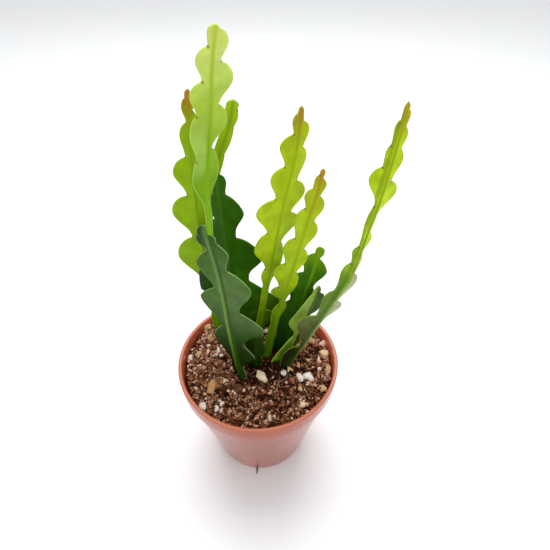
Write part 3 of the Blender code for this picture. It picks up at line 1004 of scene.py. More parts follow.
@dataclass(frozen=True)
class Stem:
    """One flattened stem. A height is a length along the midrib from the potting mix upwards.

    Each margin is a row of lobes, given from the foot up as (height of the notch that closes
    the lobe, half-width of the stem at the lobe's crest, half-width in that notch). The first
    entry has no lobe: it only says where the lobes begin and how wide the stalk is below them.
    A later entry with no reach, 0, has none either: its margin runs straight up to it.

    Attributes:
        name: the stem's name.
        spine: midrib points, the buried end first.
        facing: (height, degrees from +X) of the direction of the right-hand margin.
        left: lobes of the left margin.
        right: lobes of the right margin.
        crest: place of a crest between the two notches of its lobe.
        slot: the record's slot that it belongs to; not used.
        shoulder: upper side of a lobe; 1 is a straight slope, 2 a quarter round.
        hollow: lower side of a lobe; larger keeps it close to the midrib for longer.
        fold: (height, rise of both margins towards the front for each millimetre of width).
        rib: thickness over the midrib, at the foot and at the tip.
        blade: thickness beside the midrib.
        margin: thickness of the margin.
        sunk: length below the surface.
        curl: how far the lobes bend out of the blade by turns, in millimetres.
        curl_pace: turn of that wave for each millimetre of height, in radians.
        curl_lag: how far the right-hand lobes' wave runs ahead of the left-hand ones', in radians.
        curl_width: half-width from which the lobes curl in full.
        curl_start: height at which the curl begins.
        curl_full: height from which it is full.
        step: distance between two sections of the mesh.
        tip_rounding: length over which the tip rounds off.
        rib_spread: half-width of the midrib's swelling.
        face_columns: points across each face of a section.
        crowding: above 1, crowds those points towards the midrib.
        least_height: height below which a notch shows no areole.
    """

    name: str
    spine: tuple[Point, ...]
    facing: Places
    left: Lobes
    right: Lobes
    crest: float
    slot: Slot
    shoulder: float = 1.8
    hollow: float = 1.0
    fold: Places = ((0, 0.0), (1, 0.0))
    rib: tuple[float, float] = (4.4, 2.0)
    blade: float = 2.0
    margin: float = 1.2
    sunk: float = 20.0
    curl: float = 0.7
    curl_pace: float = 0.16
    curl_lag: float = 2.4
    curl_width: float = 12.0
    curl_start: float = 8.0
    curl_full: float = 28.0
    step: float = 0.8
    tip_rounding: float = 2.5
    rib_spread: float = 1.35
    face_columns: int = 17
    crowding: float = 1.25
    least_height: float = 4.0

    def path(self) -> tuple[Array, Array, Array]:
        """The midrib, finely sampled.

        Returns:
            Heights, points and unit directions along it.
        """
        points = smooth_path(self.spine)
        steps = np.linalg.norm(np.diff(points, axis=0), axis=1)
        heights = np.concatenate([[0.0], np.cumsum(steps)]) - self.sunk
        tangents = np.gradient(points, heights, axis=0)
        tangents /= np.linalg.norm(tangents, axis=1)[:, None]
        return heights, points, tangents

    def axes(self, at: Array) -> tuple[Array, Array, Array, Array]:
        """The midrib's place and the blade's directions at some heights.

        Across is the facing direction made square to the midrib, and front is the cross product
        of across and along.

        Args:
            at: heights along the midrib.

        Returns:
            Midrib points, and the directions along, across and out of the front of the blade.
        """
        heights, points, tangents = self.path()
        centre = interpolate(at, heights, points)
        along = interpolate(at, heights, tangents)
        angle = np.radians(np.interp(at, *zip(*self.facing)))
        across = np.stack([np.cos(angle), np.sin(angle), np.zeros_like(angle)], axis=1)
        across -= np.sum(across * along, axis=1)[:, None] * along
        across /= np.linalg.norm(across, axis=1)[:, None]
        return centre, along, across, np.cross(across, along)

    def half_width(self, height: Array, lobes: Lobes, end: float) -> Array:
        """Midrib to margin at each height.

        A lobe's half-width is waist + (reach - waist) * lobe, with the waist of its lower notch
        below the crest and of its upper notch above. Below the crest, lobe is
        (0.5 - 0.5 cos(pi t)) ** hollow, and above it (1 - t ** shoulder) ** (1 / shoulder).
        Where an entry has no reach, the margin runs straight from notch to notch. The tip
        rounds off as a quarter circle.

        Args:
            height: heights along the midrib.
            lobes: the lobes of one margin.
            end: height of the tip.

        Returns:
            The half-width at each height.
        """
        notches, reach, waist = (np.array(column, dtype=float) for column in zip(*lobes))
        here = np.clip(np.searchsorted(notches, height, side="right"), 1, len(notches) - 1)
        low, high = notches[here - 1], notches[here]
        place = np.clip((height - low) / (high - low), 0.0, 1.0)
        swell = (0.5 - 0.5 * np.cos(np.pi * np.minimum(place / self.crest, 1.0))) ** self.hollow
        above = np.clip((place - self.crest) / (1.0 - self.crest), 0.0, 1.0)
        closing = (1.0 - above**self.shoulder) ** (1.0 / self.shoulder)
        lobe = np.where(place < self.crest, swell, closing)
        base = np.where(place < self.crest, waist[here - 1], waist[here])
        straight = waist[here - 1] + (waist[here] - waist[here - 1]) * place
        width = np.where(reach[here] > 0.0, base + (reach[here] - base) * lobe, straight)
        near_end = np.clip(1.0 - (end - height) / self.tip_rounding, 0.0, 1.0)
        return width * np.sqrt(1.0 - near_end**2)

    def stations(self, lowest: float, highest: float) -> Array:
        """Heights of the sections: an even step, closer together at the notches and the tip.

        Args:
            lowest: height of the buried end.
            highest: height of the tip.

        Returns:
            The heights, from the foot up.
        """
        even = np.arange(lowest + 0.3, highest - 0.6, self.step)
        notches = np.array([entry[0] for lobes in (self.left, self.right) for entry in lobes[:-1]])
        near = notches[:, None] + np.array([-0.6, -0.3, -0.12, -0.02, 0.02, 0.35])
        tip = highest - self.tip_rounding * np.array([0.5, 0.3, 0.16, 0.07, 0.02, 0.004])
        every = np.sort(np.concatenate([even, near.ravel(), tip]))
        every = every[(every > lowest + 0.2) & (every < highest)]
        return every[np.concatenate([[True], np.diff(every) > 0.008])]

    @staticmethod
    def notches(lobes: Lobes) -> list[tuple[float, float]]:
        """Height and half-width of the real notches: those narrower than what lies on both sides.

        Args:
            lobes: the lobes of one margin.

        Returns:
            One pair for each notch, from the foot up, without the tip.
        """
        inner = zip(lobes[:-2], lobes[1:-1], lobes[2:])
        return [
            (height, waist)
            for (_, _, below), (height, reach, waist), (_, crest, above) in inner
            if waist <= max(reach, below) and waist < max(crest, above)
        ]

    def notch_distance(self, at: Array, reach: Array, lobes: Lobes) -> Array:
        """Distance along the blade from each point to the nearest notch of a margin.

        Args:
            at: height of each section.
            reach: distance of each section's points from the midrib.
            lobes: the lobes of the margin.

        Returns:
            The distance of each section's points.
        """
        height, waist = np.array(self.notches(lobes)).T
        gap = np.hypot(at[:, None, None] - height, reach[:, :, None] - waist)
        return gap.min(axis=-1)

    def half_thickness(self, run: Array, narrow: Array, share: Array, wide: Array) -> Array:
        """Half the thickness at each point of each section.

        At a share q of the half-width w, and so a = q w from the midrib, it is
        margin/2 + (blade - margin)/2 (1 - q^2) for the blade, plus a bell
        (rib - blade)/2 exp(-(a/spread)^2) for the midrib, all rounded off by sqrt(1 - t^2)
        close to the margin. A narrow stalk is no thicker than it is wide.

        Args:
            run: place of each section along the stem, 0 to 1.
            narrow: its half-width on the narrower side.
            share: q of each of its points.
            wide: w on each of their sides.

        Returns:
            The half thickness.
        """
        reach = np.abs(share) * wide
        rib = np.minimum(self.rib[0] + (self.rib[1] - self.rib[0]) * run, 1.7 * narrow + 0.15)
        blade = np.minimum(self.blade, 0.85 * rib)
        edge = np.minimum(self.margin, 0.8 * blade)
        half = 0.5 * (edge[:, None] + (blade - edge)[:, None] * (1.0 - share**2))
        bell = np.exp(-((reach / self.rib_spread) ** 2))
        half = half + 0.5 * (rib - blade)[:, None] * bell
        lip = np.maximum(np.minimum(0.6 * edge[:, None], wide), 1e-6)
        roll = np.clip(1.0 - (wide - reach) / lip, 0.0, 1.0)
        return half * np.sqrt(1.0 - roll**2)

    def curling(self, at: Array, share: Array, wide: Array) -> Array:
        """How far each point bends out of the blade: curl q^2 sin(phase).

        The phase grows up the stem, and the bend fades out towards the foot and in a narrow blade.

        Args:
            at: height of each section.
            share: share q of the half-width of each of its points.
            wide: half-width on each of their sides.

        Returns:
            The bend, towards the front where it is above 0.
        """
        phase = at[:, None] * self.curl_pace + np.where(share < 0, 0.0, self.curl_lag)
        bend = self.curl * share**2 * np.sin(phase) * np.clip(wide / self.curl_width, 0.0, 1.0)
        rise = (at[:, None] - self.curl_start) / (self.curl_full - self.curl_start)
        return bend * np.clip(rise, 0.0, 1.0)

    def skin(self) -> Skin:
        """The stem's closed skin.

        A section's point at a signed share q of the half-width w lies at a = q w across the blade
        and at fold |a| + bend +- half the thickness in front of it or behind it.

        Returns:
            The skin, with the values run (0 at the surface, 1 at the tip), rib and edge (distances
            from the midrib and the margin), side (-1 at the left margin, 1 at the right one) and
            notch (distance from the nearest notch).
        """
        heights, points, _ = self.path()
        at = self.stations(heights[0], heights[-1])
        centre, _, across, front = self.axes(at)

        spread = np.linspace(0.0, 1.0, (self.face_columns + 1) // 2)
        half_row = np.sin(0.5 * np.pi * spread) ** self.crowding
        row = np.concatenate([-half_row[:0:-1], half_row])
        share = np.concatenate([row, row[-2:0:-1]])[None, :]
        face = np.concatenate([np.ones(len(row)), -np.ones(len(row) - 2)])[None, :]

        left = self.half_width(at, self.left, heights[-1])
        right = self.half_width(at, self.right, heights[-1])
        wide = np.where(share < 0, left[:, None], right[:, None])
        offset = share * wide
        reach = np.abs(offset)
        run = np.clip(at / heights[-1], 0.0, 1.0)
        half = self.half_thickness(run, np.minimum(left, right), share, wide)
        fold = np.interp(at, *zip(*self.fold))[:, None]
        out = face * half + fold * reach + self.curling(at, share, wide)
        rings = centre[:, None, :] + offset[..., None] * across[:, None, :]
        rings = (rings + out[..., None] * front[:, None, :])[:, ::-1]
        notch = np.where(
            share < 0,
            self.notch_distance(at, reach, self.left),
            self.notch_distance(at, reach, self.right),
        )
        values = {
            "run": np.broadcast_to(run[:, None], reach.shape),
            "rib": reach,
            "side": np.broadcast_to(share, reach.shape),
            "edge": wide - reach,
            "notch": notch,
        }
        ends = {
            "run": (0.0, 1.0),
            "rib": (0.0, 0.0),
            "side": (0.0, 0.0),
            "edge": (2.0, 2.0),
            "notch": (9.0, 9.0),
        }
        full = {}
        for key, grid in values.items():
            flat = grid[:, ::-1].ravel()
            full[key] = np.concatenate([[ends[key][0]], flat, [ends[key][1]]])
        poles = np.vstack([points[:1], rings.reshape(-1, 3), points[-1:]])
        return Skin(poles, tube_faces(*rings.shape[:2]), full)

    def notch_places(self) -> list[tuple[Array, Array, Array]]:
        """Where the areoles sit.

        Returns:
            Point, outward direction and front direction of each notch above the surface.
        """
        places = []
        for lobes, sign in ((self.left, -1.0), (self.right, 1.0)):
            shown = [notch for notch in self.notches(lobes) if notch[0] >= self.least_height]
            at, waist = np.array(shown).reshape(-1, 2).T
            centre, along, across, front = self.axes(at)
            fold = np.interp(at, *zip(*self.fold))
            points = centre + (sign * waist)[:, None] * across + (fold * waist)[:, None] * front
            outward = sign * across + 0.9 * along
            outward /= np.linalg.norm(outward, axis=1)[:, None]
            places += zip(points, outward, front)
        return places


FRONT_CUTTING = Stem(
    name="front_cutting",
    spine=((-7.5, -11.5, 63), (-10, -11, 82.5), (-13, -10, 100.5), (-15.5, -9, 128),
           (-17, -8, 152), (-19, -7, 173), (-23, -6, 201)),
    facing=((0, -25), (110, -25)),
    left=((2, 0, 3.5), (16, 5, 4), (48, 12.5, 4.5), (77, 16.5, 5), (103, 12, 3), (119, 6, 2.5)),
    right=((11, 0, 3.6), (35, 14.4, 8), (62, 23, 8.5), (91, 18.5, 5.5), (108.5, 9.5, 4.4),
           (114, 4.8, 1.2), (119, 1.2, 1.2)),
    rib=(4.4, 2.6),
    crest=0.67,
    shoulder=1.3,
    hollow=1.1,
    slot=Slot.OLD,
)
TALL_SHOOT = Stem(
    name="tall_shoot",
    spine=((-20.8, -6.4, 191), (-20.8, -6.2, 197), (-20.2, -6.3, 206), (-20.2, -6.8, 214),
           (-19.3, -7.2, 223), (-17, -8, 240), (-14, -8, 260), (-12, -8, 275), (-9.5, -8, 286.5)),
    sunk=4.0,
    facing=((0, 15), (46, 34), (95, 34)),
    left=((16, 0, 1.6), (41, 6.5, 5), (60, 8.5, 5.5), (73, 8.5, 3.5), (85, 6.5, 2), (93, 3, 1.2)),
    right=((20, 0, 1.8), (46, 5.5, 2), (64, 8.5, 4), (80, 9.5, 4), (91, 6.5, 2.5), (93, 2, 1.2)),
    crest=0.63,
    rib=(2.8, 1.8),
    blade=1.8,
    margin=1.0,
    slot=Slot.NEW,
)
LEFT_SHOOT = Stem(
    name="left_shoot",
    spine=((-24.5, 29, 63), (-27, 29, 83), (-29.5, 29, 105), (-31, 29, 133), (-32.5, 29, 175),
           (-32, 28, 206), (-30.5, 28, 233), (-29, 27.5, 253)),
    facing=((0, 0), (170, 0)),
    left=((-6, 0, 2.5), (20, 5, 3.5), (48, 5, 4.5), (85, 16.5, 5.5), (113, 14.5, 5),
          (136, 10.5, 3.5), (154, 5.5, 1.8), (166, 3.5, 1.7), (170, 1.6, 1)),
    right=((-4, 0, 2.5), (30, 5, 4), (70, 9, 5), (99, 14, 5), (125, 12, 4.5), (145, 8, 3),
           (160, 4.5, 2), (168, 3, 1.4), (170, 1.4, 1)),
    crest=0.62,
    hollow=1.25,
    rib=(4.0, 1.8),
    blade=1.8,
    margin=1.0,
    slot=Slot.YOUNG,
)
SLIM_SHOOT = Stem(
    name="slim_shoot",
    spine=((-18.5, 37.5, 63), (-22.5, 38, 83), (-26.5, 38, 105.5), (-30, 38, 138), (-31, 38, 167.5),
           (-27.5, 37.5, 191), (-22, 37, 207), (-12.5, 36.5, 231), (-9, 35.5, 245)),
    facing=((0, 0), (165, 0)),
    left=((0, 0, 2.2), (60, 4, 2.4), (100, 5, 3), (126, 4.5, 3), (150, 3.6, 2.8), (168, 3.4, 2.4)),
    right=((20, 0, 2.2), (80, 4.5, 2.4), (112, 5, 3), (136, 3.6, 2.6), (152, 3.3, 2.5),
           (162, 3.5, 2.7), (168, 3.2, 2)),
    crest=0.6,
    rib=(3.8, 2.4),
    slot=Slot.YOUNG,
)
BACK_CUTTING = Stem(
    name="back_cutting",
    spine=((-9.5, 24, 63), (-11.5, 24, 83), (-12.5, 24, 98), (-15.5, 24, 129), (-17, 23, 156.5),
           (-18.5, 22, 197.5), (-18.5, 22, 213)),
    facing=((0, -5), (130, -5)),
    left=((0, 0, 5), (34, 12, 6), (43.5, 0, 10), (45.5, 0, 19), (47.8, 0, 21.2), (69, 20.4, 6),
          (101, 17, 4.5), (118, 10, 3), (130, 4.5, 2.5)),
    right=((-12, 0, 5), (25.5, 14, 18), (28.5, 0, 25.5), (38.5, 29.8, 29.3), (54, 0, 11),
           (89, 21, 6.5), (118, 12.5, 3.7), (130, 4.5, 2.5)),
    crest=0.62,
    shoulder=1.5,
    hollow=1.7,
    slot=Slot.OLD,
)
CENTRE_SHOOT = Stem(
    name="centre_shoot",
    spine=((-5, 16, 63), (-2.5, 16, 83), (1, 16, 109), (4, 17, 127), (6.5, 17, 144),
           (9.5, 18, 163), (14, 18, 192), (20.5, 20, 224), (23, 20, 248)),
    facing=((0, 15), (60, 30), (167, 30)),
    left=((40, 0, 2.3), (57, 3, 2.8), (71, 5, 3.5), (98, 13.5, 6.5), (119, 15, 5.5),
          (137, 11.5, 4.5), (154, 9, 2.5), (164, 4, 1.5), (167, 1.3, 1)),
    right=((14, 0, 2.3), (36, 9.3, 2.2), (56, 2.3, 2.3), (89, 7.5, 4.5), (110, 13, 6.5),
           (129, 12.5, 5.5), (147, 7.5, 4), (160, 6, 2.5), (167, 1.8, 1)),
    crest=0.67,
    rib=(4.2, 1.8),
    blade=1.8,
    margin=1.0,
    slot=Slot.NEW,
)
SHORT_SHOOT = Stem(
    name="short_shoot",
    spine=((4.5, 5, 63), (5.6, 5, 83), (7, 6.2, 90), (11.3, 10, 112.5), (15.5, 11.3, 133),
           (22, 12, 162.5), (27.5, 13, 187.5), (32, 14, 206), (34.5, 14, 220)),
    facing=((0, 8), (140, 8)),
    left=((-8, 0, 4), (28, 4, 3.3), (47, 4.4, 1.5), (51, 1.6, 1.6), (61.5, 8.8, 4.9),
          (80, 10.5, 5.5), (98, 9, 4), (117, 7, 3.5), (129, 6, 3), (137, 3, 1.2), (141, 1.4, 1)),
    right=((-8, 0, 2.6), (36, 1.7, 1.7), (50, 3.8, 2.3), (74, 6, 3.2), (91, 7, 3.5),
           (110, 7.5, 3.7), (125, 6.3, 2.4), (135, 4, 1.3), (141, 1.6, 1)),
    crest=0.65,
    rib=(4.2, 1.8),
    blade=1.8,
    margin=1.0,
    slot=Slot.NEW,
)
RIGHT_STEM = Stem(
    name="right_stem",
    spine=((14, -3, 63), (19, -3.3, 83), (26, -3.4, 101.5), (33.2, -4, 119.5), (47, -4, 153.5),
           (52, -4, 168.5), (57.5, -2, 198), (60.5, 0, 211), (64, 2, 238), (65.5, 2, 256.5)),
    facing=((0, 10), (110, 10), (181, 12)),
    fold=((0, -0.35), (105, -0.35), (140, -0.3), (181, -0.1)),
    left=((-14, 0, 2.5), (24, 7, 1.8), (54, 10.6, 4), (76, 6, 3.5), (98, 5.5, 2.5), (109, 3.6, 1.6),
          (132, 2.6, 1.7), (152, 7.4, 3.3), (162.5, 3.8, 2.5), (174, 3, 1.3), (181, 1.3, 0.9)),
    right=((-6, 0, 1.7), (50, 2, 1.7), (69, 9, 2.3), (91, 7, 2), (105, 3, 1.5), (118, 4, 1.8),
           (127, 2.2, 1.9), (145.5, 8.7, 3.3), (160.5, 5.8, 3.3), (170.5, 4.4, 2.3), (178.5, 2.8, 1.3),
           (181, 1.3, 0.9)),
    crest=0.68,
    hollow=1.4,
    rib=(4.4, 1.8),
    margin=1.1,
    slot=Slot.YOUNG,
)
BACK_RIGHT_CUTTING = Stem(
    name="back_right_cutting",
    spine=((11.5, 9.5, 63), (16.5, 12, 83), (20.5, 14, 98.5), (25.5, 17, 116.5), (30, 19, 133),
           (33.5, 20.5, 145), (37.3, 22.3, 165.5)),
    facing=((0, -5), (80, -5)),
    left=((-6, 0, 6), (12, 10, 8), (43, 13, 7.5), (66, 14, 5.6), (81.5, 7.6, 2), (86.5, 2, 1.6)),
    right=((10, 0, 5), (57, 9, 3.8), (78, 8.3, 2), (84.5, 3.6, 3.4), (86.5, 3.4, 3)),
    crest=0.62,
    shoulder=1.4,
    hollow=1.3,
    slot=Slot.OLD,
)
TURNED_SHOOT = Stem(
    name="turned_shoot",
    spine=((14, 4, 63), (19.5, 5, 83), (24.5, 6, 102.5), (28.5, 7, 117), (33, 8, 131.5),
           (37.2, 9.3, 146.5)),
    facing=((0, 25), (64, 25)),
    left=((-14, 0, 4), (24, 12.6, 2.7), (60, 10.8, 2.6), (66, 2.6, 1.6)),
    right=((0, 0, 2.5), (41, 2.6, 1.7), (57.5, 8, 7.4), (61, 7, 3), (66, 2.6, 1.4)),
    crest=0.4,
    shoulder=1.2,
    rib=(3.8, 2.0),
    slot=Slot.YOUNG,
)
STUB_CUTTING = Stem(
    name="stub_cutting",
    spine=((3, 34, 63), (2, 34, 83), (1, 34, 107)),
    facing=((0, 0), (24, 0)),
    left=((-6, 0, 4), (18, 7, 4), (24, 5, 3)),
    right=((-10, 0, 4), (12, 9, 5), (24, 7, 3)),
    crest=0.6,
    slot=Slot.OLD,
)
OLD_STUMP = Stem(
    name="old_stump",
    spine=((-1.5, -1.5, 63), (-1.7, -1.8, 83), (-1.2, -1.8, 114)),
    facing=((0, 0), (31, 0)),
    left=((-6, 0, 4.5), (14, 7.5, 6), (31, 6.5, 4)),
    right=((-8, 0, 3), (9, 4.6, 4), (24, 6, 5), (31, 5.2, 4)),
    crest=0.6,
    slot=Slot.OLD,
)
ROOTED = (
    FRONT_CUTTING, LEFT_SHOOT, SLIM_SHOOT, BACK_CUTTING, CENTRE_SHOOT, SHORT_SHOOT,
    RIGHT_STEM, BACK_RIGHT_CUTTING, TURNED_SHOOT, STUB_CUTTING, OLD_STUMP,
)


@dataclass(frozen=True)
class Clump:
    """All the stems and the areoles in their notches.

    Attributes:
        stems: the stems that stand in the mix, each with a node of its own.
        grown_on: the shoot that grows from the top of one of them, and shares its node.
        cushion_radius: radius of an areole's felt.
        cushion_lift: how far the middle of the felt stands out of the notch.
        bristles: number of bristles in an areole.
        bristle_length: length of the longest.
        bristle_radius: radius at the foot of one.
        bristle_spread: how far a bristle leans to any side, as a share of its length.
        seed: picks how they lean.
    """

    stems: tuple[Stem, ...] = ROOTED
    grown_on: Stem = TALL_SHOOT
    cushion_radius: float = 0.28
    cushion_lift: float = 0.05
    bristles: int = 5
    bristle_length: float = 0.9
    bristle_radius: float = 0.05
    bristle_spread: float = 0.8
    seed: int = 5

    def build(self) -> None:
        """Dresses every stem, then all their areoles."""
        for stem in self.stems:
            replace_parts(self.dress(stem), stem.name)
        self.dress(self.grown_on)
        make_piece("areoles", self.areoles(), FELT.material())

    @staticmethod
    def dress(stem: Stem) -> bpy.types.Object:
        """The stem's flesh in its own finish."""
        finish = FINISHES[stem.name].material()
        return make_piece(f"{stem.name}_flesh", stem.skin(), finish)

    def areoles(self) -> Skin:
        """A felted cushion and a few short bristles in each notch.

        A bristle runs straight along outward + u front + v side, with u and v at random.

        Returns:
            The skin, with the value tone.
        """
        places = [place for stem in (*self.stems, self.grown_on) for place in stem.notch_places()]
        random = np.random.default_rng(self.seed)
        points = np.array([place[0] for place in places])
        outward = np.array([place[1] for place in places])
        front = np.array([place[2] for place in places])
        count = len(points)
        cushions = Lumps(latitudes=3, longitudes=6, roughness=0.15, seed=self.seed)
        sizes = np.full((count, 3), self.cushion_radius)
        middles = points + self.cushion_lift * outward
        skin = cushions.skin(middles, sizes, random.uniform(0.2, 0.6, count))
        starts = np.repeat(points, self.bristles, axis=0)
        lean = random.uniform(-self.bristle_spread, self.bristle_spread, (len(starts), 2))
        side = np.cross(outward, front)
        ways = np.repeat(outward, self.bristles, axis=0)
        ways = ways + lean[:, :1] * np.repeat(front, self.bristles, axis=0)
        ways = ways + lean[:, 1:] * np.repeat(side, self.bristles, axis=0)
        ways /= np.linalg.norm(ways, axis=1)[:, None]
        length = self.bristle_length * random.uniform(0.5, 1.0, len(starts))
        t = np.linspace(0.0, 1.0, 3)
        paths = starts[:, None, :] + ways[:, None, :] * (t[None, :, None] * length[:, None, None])
        radius = self.bristle_radius * (1.0 - 0.7 * t)
        return skin.joined(strands(paths, radius, random.uniform(0.5, 1.0, len(starts))))


# ----------------------------------------------------------
# Potting mix
# ----------------------------------------------------------


@dataclass(frozen=True)
class Lumps:
    """Many small closed lumps on one grid of directions.

    Attributes:
        latitudes: rings of points between the two poles.
        longitudes: points on a ring.
        roughness: how far the noise pushes a point in or out, as a share of the radius.
        corner: 2 gives an ellipsoid; higher gives a blockier lump.
        seed: picks the noise.
    """

    latitudes: int
    longitudes: int
    roughness: float
    corner: float = 2.0
    seed: int = 1

    def directions(self) -> Array:
        """Unit directions, evenly spaced in latitude and longitude.

        Returns:
            The south pole, the rings from the south up, then the north pole.
        """
        lat = np.pi * (np.arange(1, self.latitudes + 1) / (self.latitudes + 1) - 0.5)
        lon = 2.0 * np.pi * np.arange(self.longitudes) / self.longitudes
        ring = np.stack([
            np.cos(lat)[:, None] * np.cos(lon)[None, :],
            np.cos(lat)[:, None] * np.sin(lon)[None, :],
            np.broadcast_to(np.sin(lat)[:, None], (self.latitudes, self.longitudes)),
        ], axis=-1)
        return np.vstack([[[0.0, 0.0, -1.0]], ring.reshape(-1, 3), [[0.0, 0.0, 1.0]]])

    def skin(
        self,
        centres: Array,
        radii: Array,
        tone: Array,
        heading: Array | None = None,
    ) -> Skin:
        """All the lumps as one skin.

        A point is centre + R (radii * direction / |direction|_p * (1 + roughness * noise)),
        where R is a random turn and |.|_p is the corner-norm.

        Args:
            centres: one place for each lump.
            radii: three half-sizes for each lump.
            tone: the value that colours each lump.
            heading: degrees that each lump is turned about the upright axis, if it is to lie flat.

        Returns:
            The skin, with the value tone.
        """
        random = np.random.default_rng(self.seed)
        count = len(centres)
        ways = self.directions()
        ways = ways / (np.abs(ways) ** self.corner).sum(axis=1)[:, None] ** (1.0 / self.corner)
        offsets = random.uniform(0.0, 900.0, (count, 1, 3))
        noise = lattice_noise(ways[None] + offsets, 0.75, self.seed)
        body = ways[None] * radii[:, None, :] * (1.0 + self.roughness * noise[..., None])
        turned = np.einsum("nij,nvj->nvi", self.turns(random, count, heading), body)
        points = (centres[:, None, :] + turned).reshape(-1, 3)
        shift = (np.arange(count) * len(ways))[:, None, None]
        each = tube_faces(self.latitudes, self.longitudes)
        faces = [(part[None] + shift).reshape(-1, part.shape[1]) for part in each]
        return Skin(points, faces, {"tone": np.repeat(tone, len(ways))})

    @staticmethod
    def turns(random: np.random.Generator, count: int, heading: Array | None) -> Array:
        """Turns from random unit quaternions, or from headings with a slight tilt.

        Args:
            random: source of chance.
            count: number of turns.
            heading: degrees about the upright axis, or None for a turn any way round.

        Returns:
            One rotation matrix for each lump.
        """
        q = random.normal(size=(count, 4))
        if heading is not None:
            half = 0.5 * np.radians(heading)
            q[:, 0], q[:, 3] = np.cos(half), np.sin(half)
            q[:, 1:3] *= 0.12
        w, x, y, z = (q / np.linalg.norm(q, axis=1)[:, None]).T
        return np.stack([
            np.stack([1 - 2 * (y * y + z * z), 2 * (x * y - z * w), 2 * (x * z + y * w)], axis=1),
            np.stack([2 * (x * y + z * w), 1 - 2 * (x * x + z * z), 2 * (y * z - x * w)], axis=1),
            np.stack([2 * (x * z - y * w), 2 * (y * z + x * w), 1 - 2 * (x * x + y * y)], axis=1),
        ], axis=1)


def strands(paths: Array, radius: Array, tone: Array, around: int = 4) -> Skin:
    """Thin closed tubes along many paths of the same number of points.

    Args:
        paths: strand, point and xyz.
        radius: radius at each point of a path.
        tone: the value that colours each strand.
        around: points round a section.

    Returns:
        The skin, with the value tone.
    """
    count, length = paths.shape[:2]
    along = np.gradient(paths, axis=1)
    along /= np.linalg.norm(along, axis=2)[..., None]
    upright = np.abs(along[:, :1, 2:]) > 0.8
    helper = np.where(upright, np.array([1.0, 0.0, 0.0]), np.array([0.0, 0.0, 1.0]))
    side = np.cross(along, np.broadcast_to(helper, along.shape))
    side /= np.linalg.norm(side, axis=2)[..., None]
    other = np.cross(along, side)
    turn = 2.0 * np.pi * np.arange(around) / around
    wheel = np.cos(turn)[None, None, :, None] * side[:, :, None, :]
    wheel = wheel + np.sin(turn)[None, None, :, None] * other[:, :, None, :]
    rings = paths[:, :, None, :] + radius[None, :, None, None] * wheel
    block = np.concatenate([
        paths[:, :1], rings.reshape(count, length * around, 3), paths[:, -1:],
    ], axis=1)
    each = block.shape[1]
    shift = (np.arange(count) * each)[:, None, None]
    faces = [(part[None] + shift).reshape(-1, part.shape[1]) for part in tube_faces(length, around)]
    return Skin(block.reshape(-1, 3), faces, {"tone": np.repeat(tone, each)})


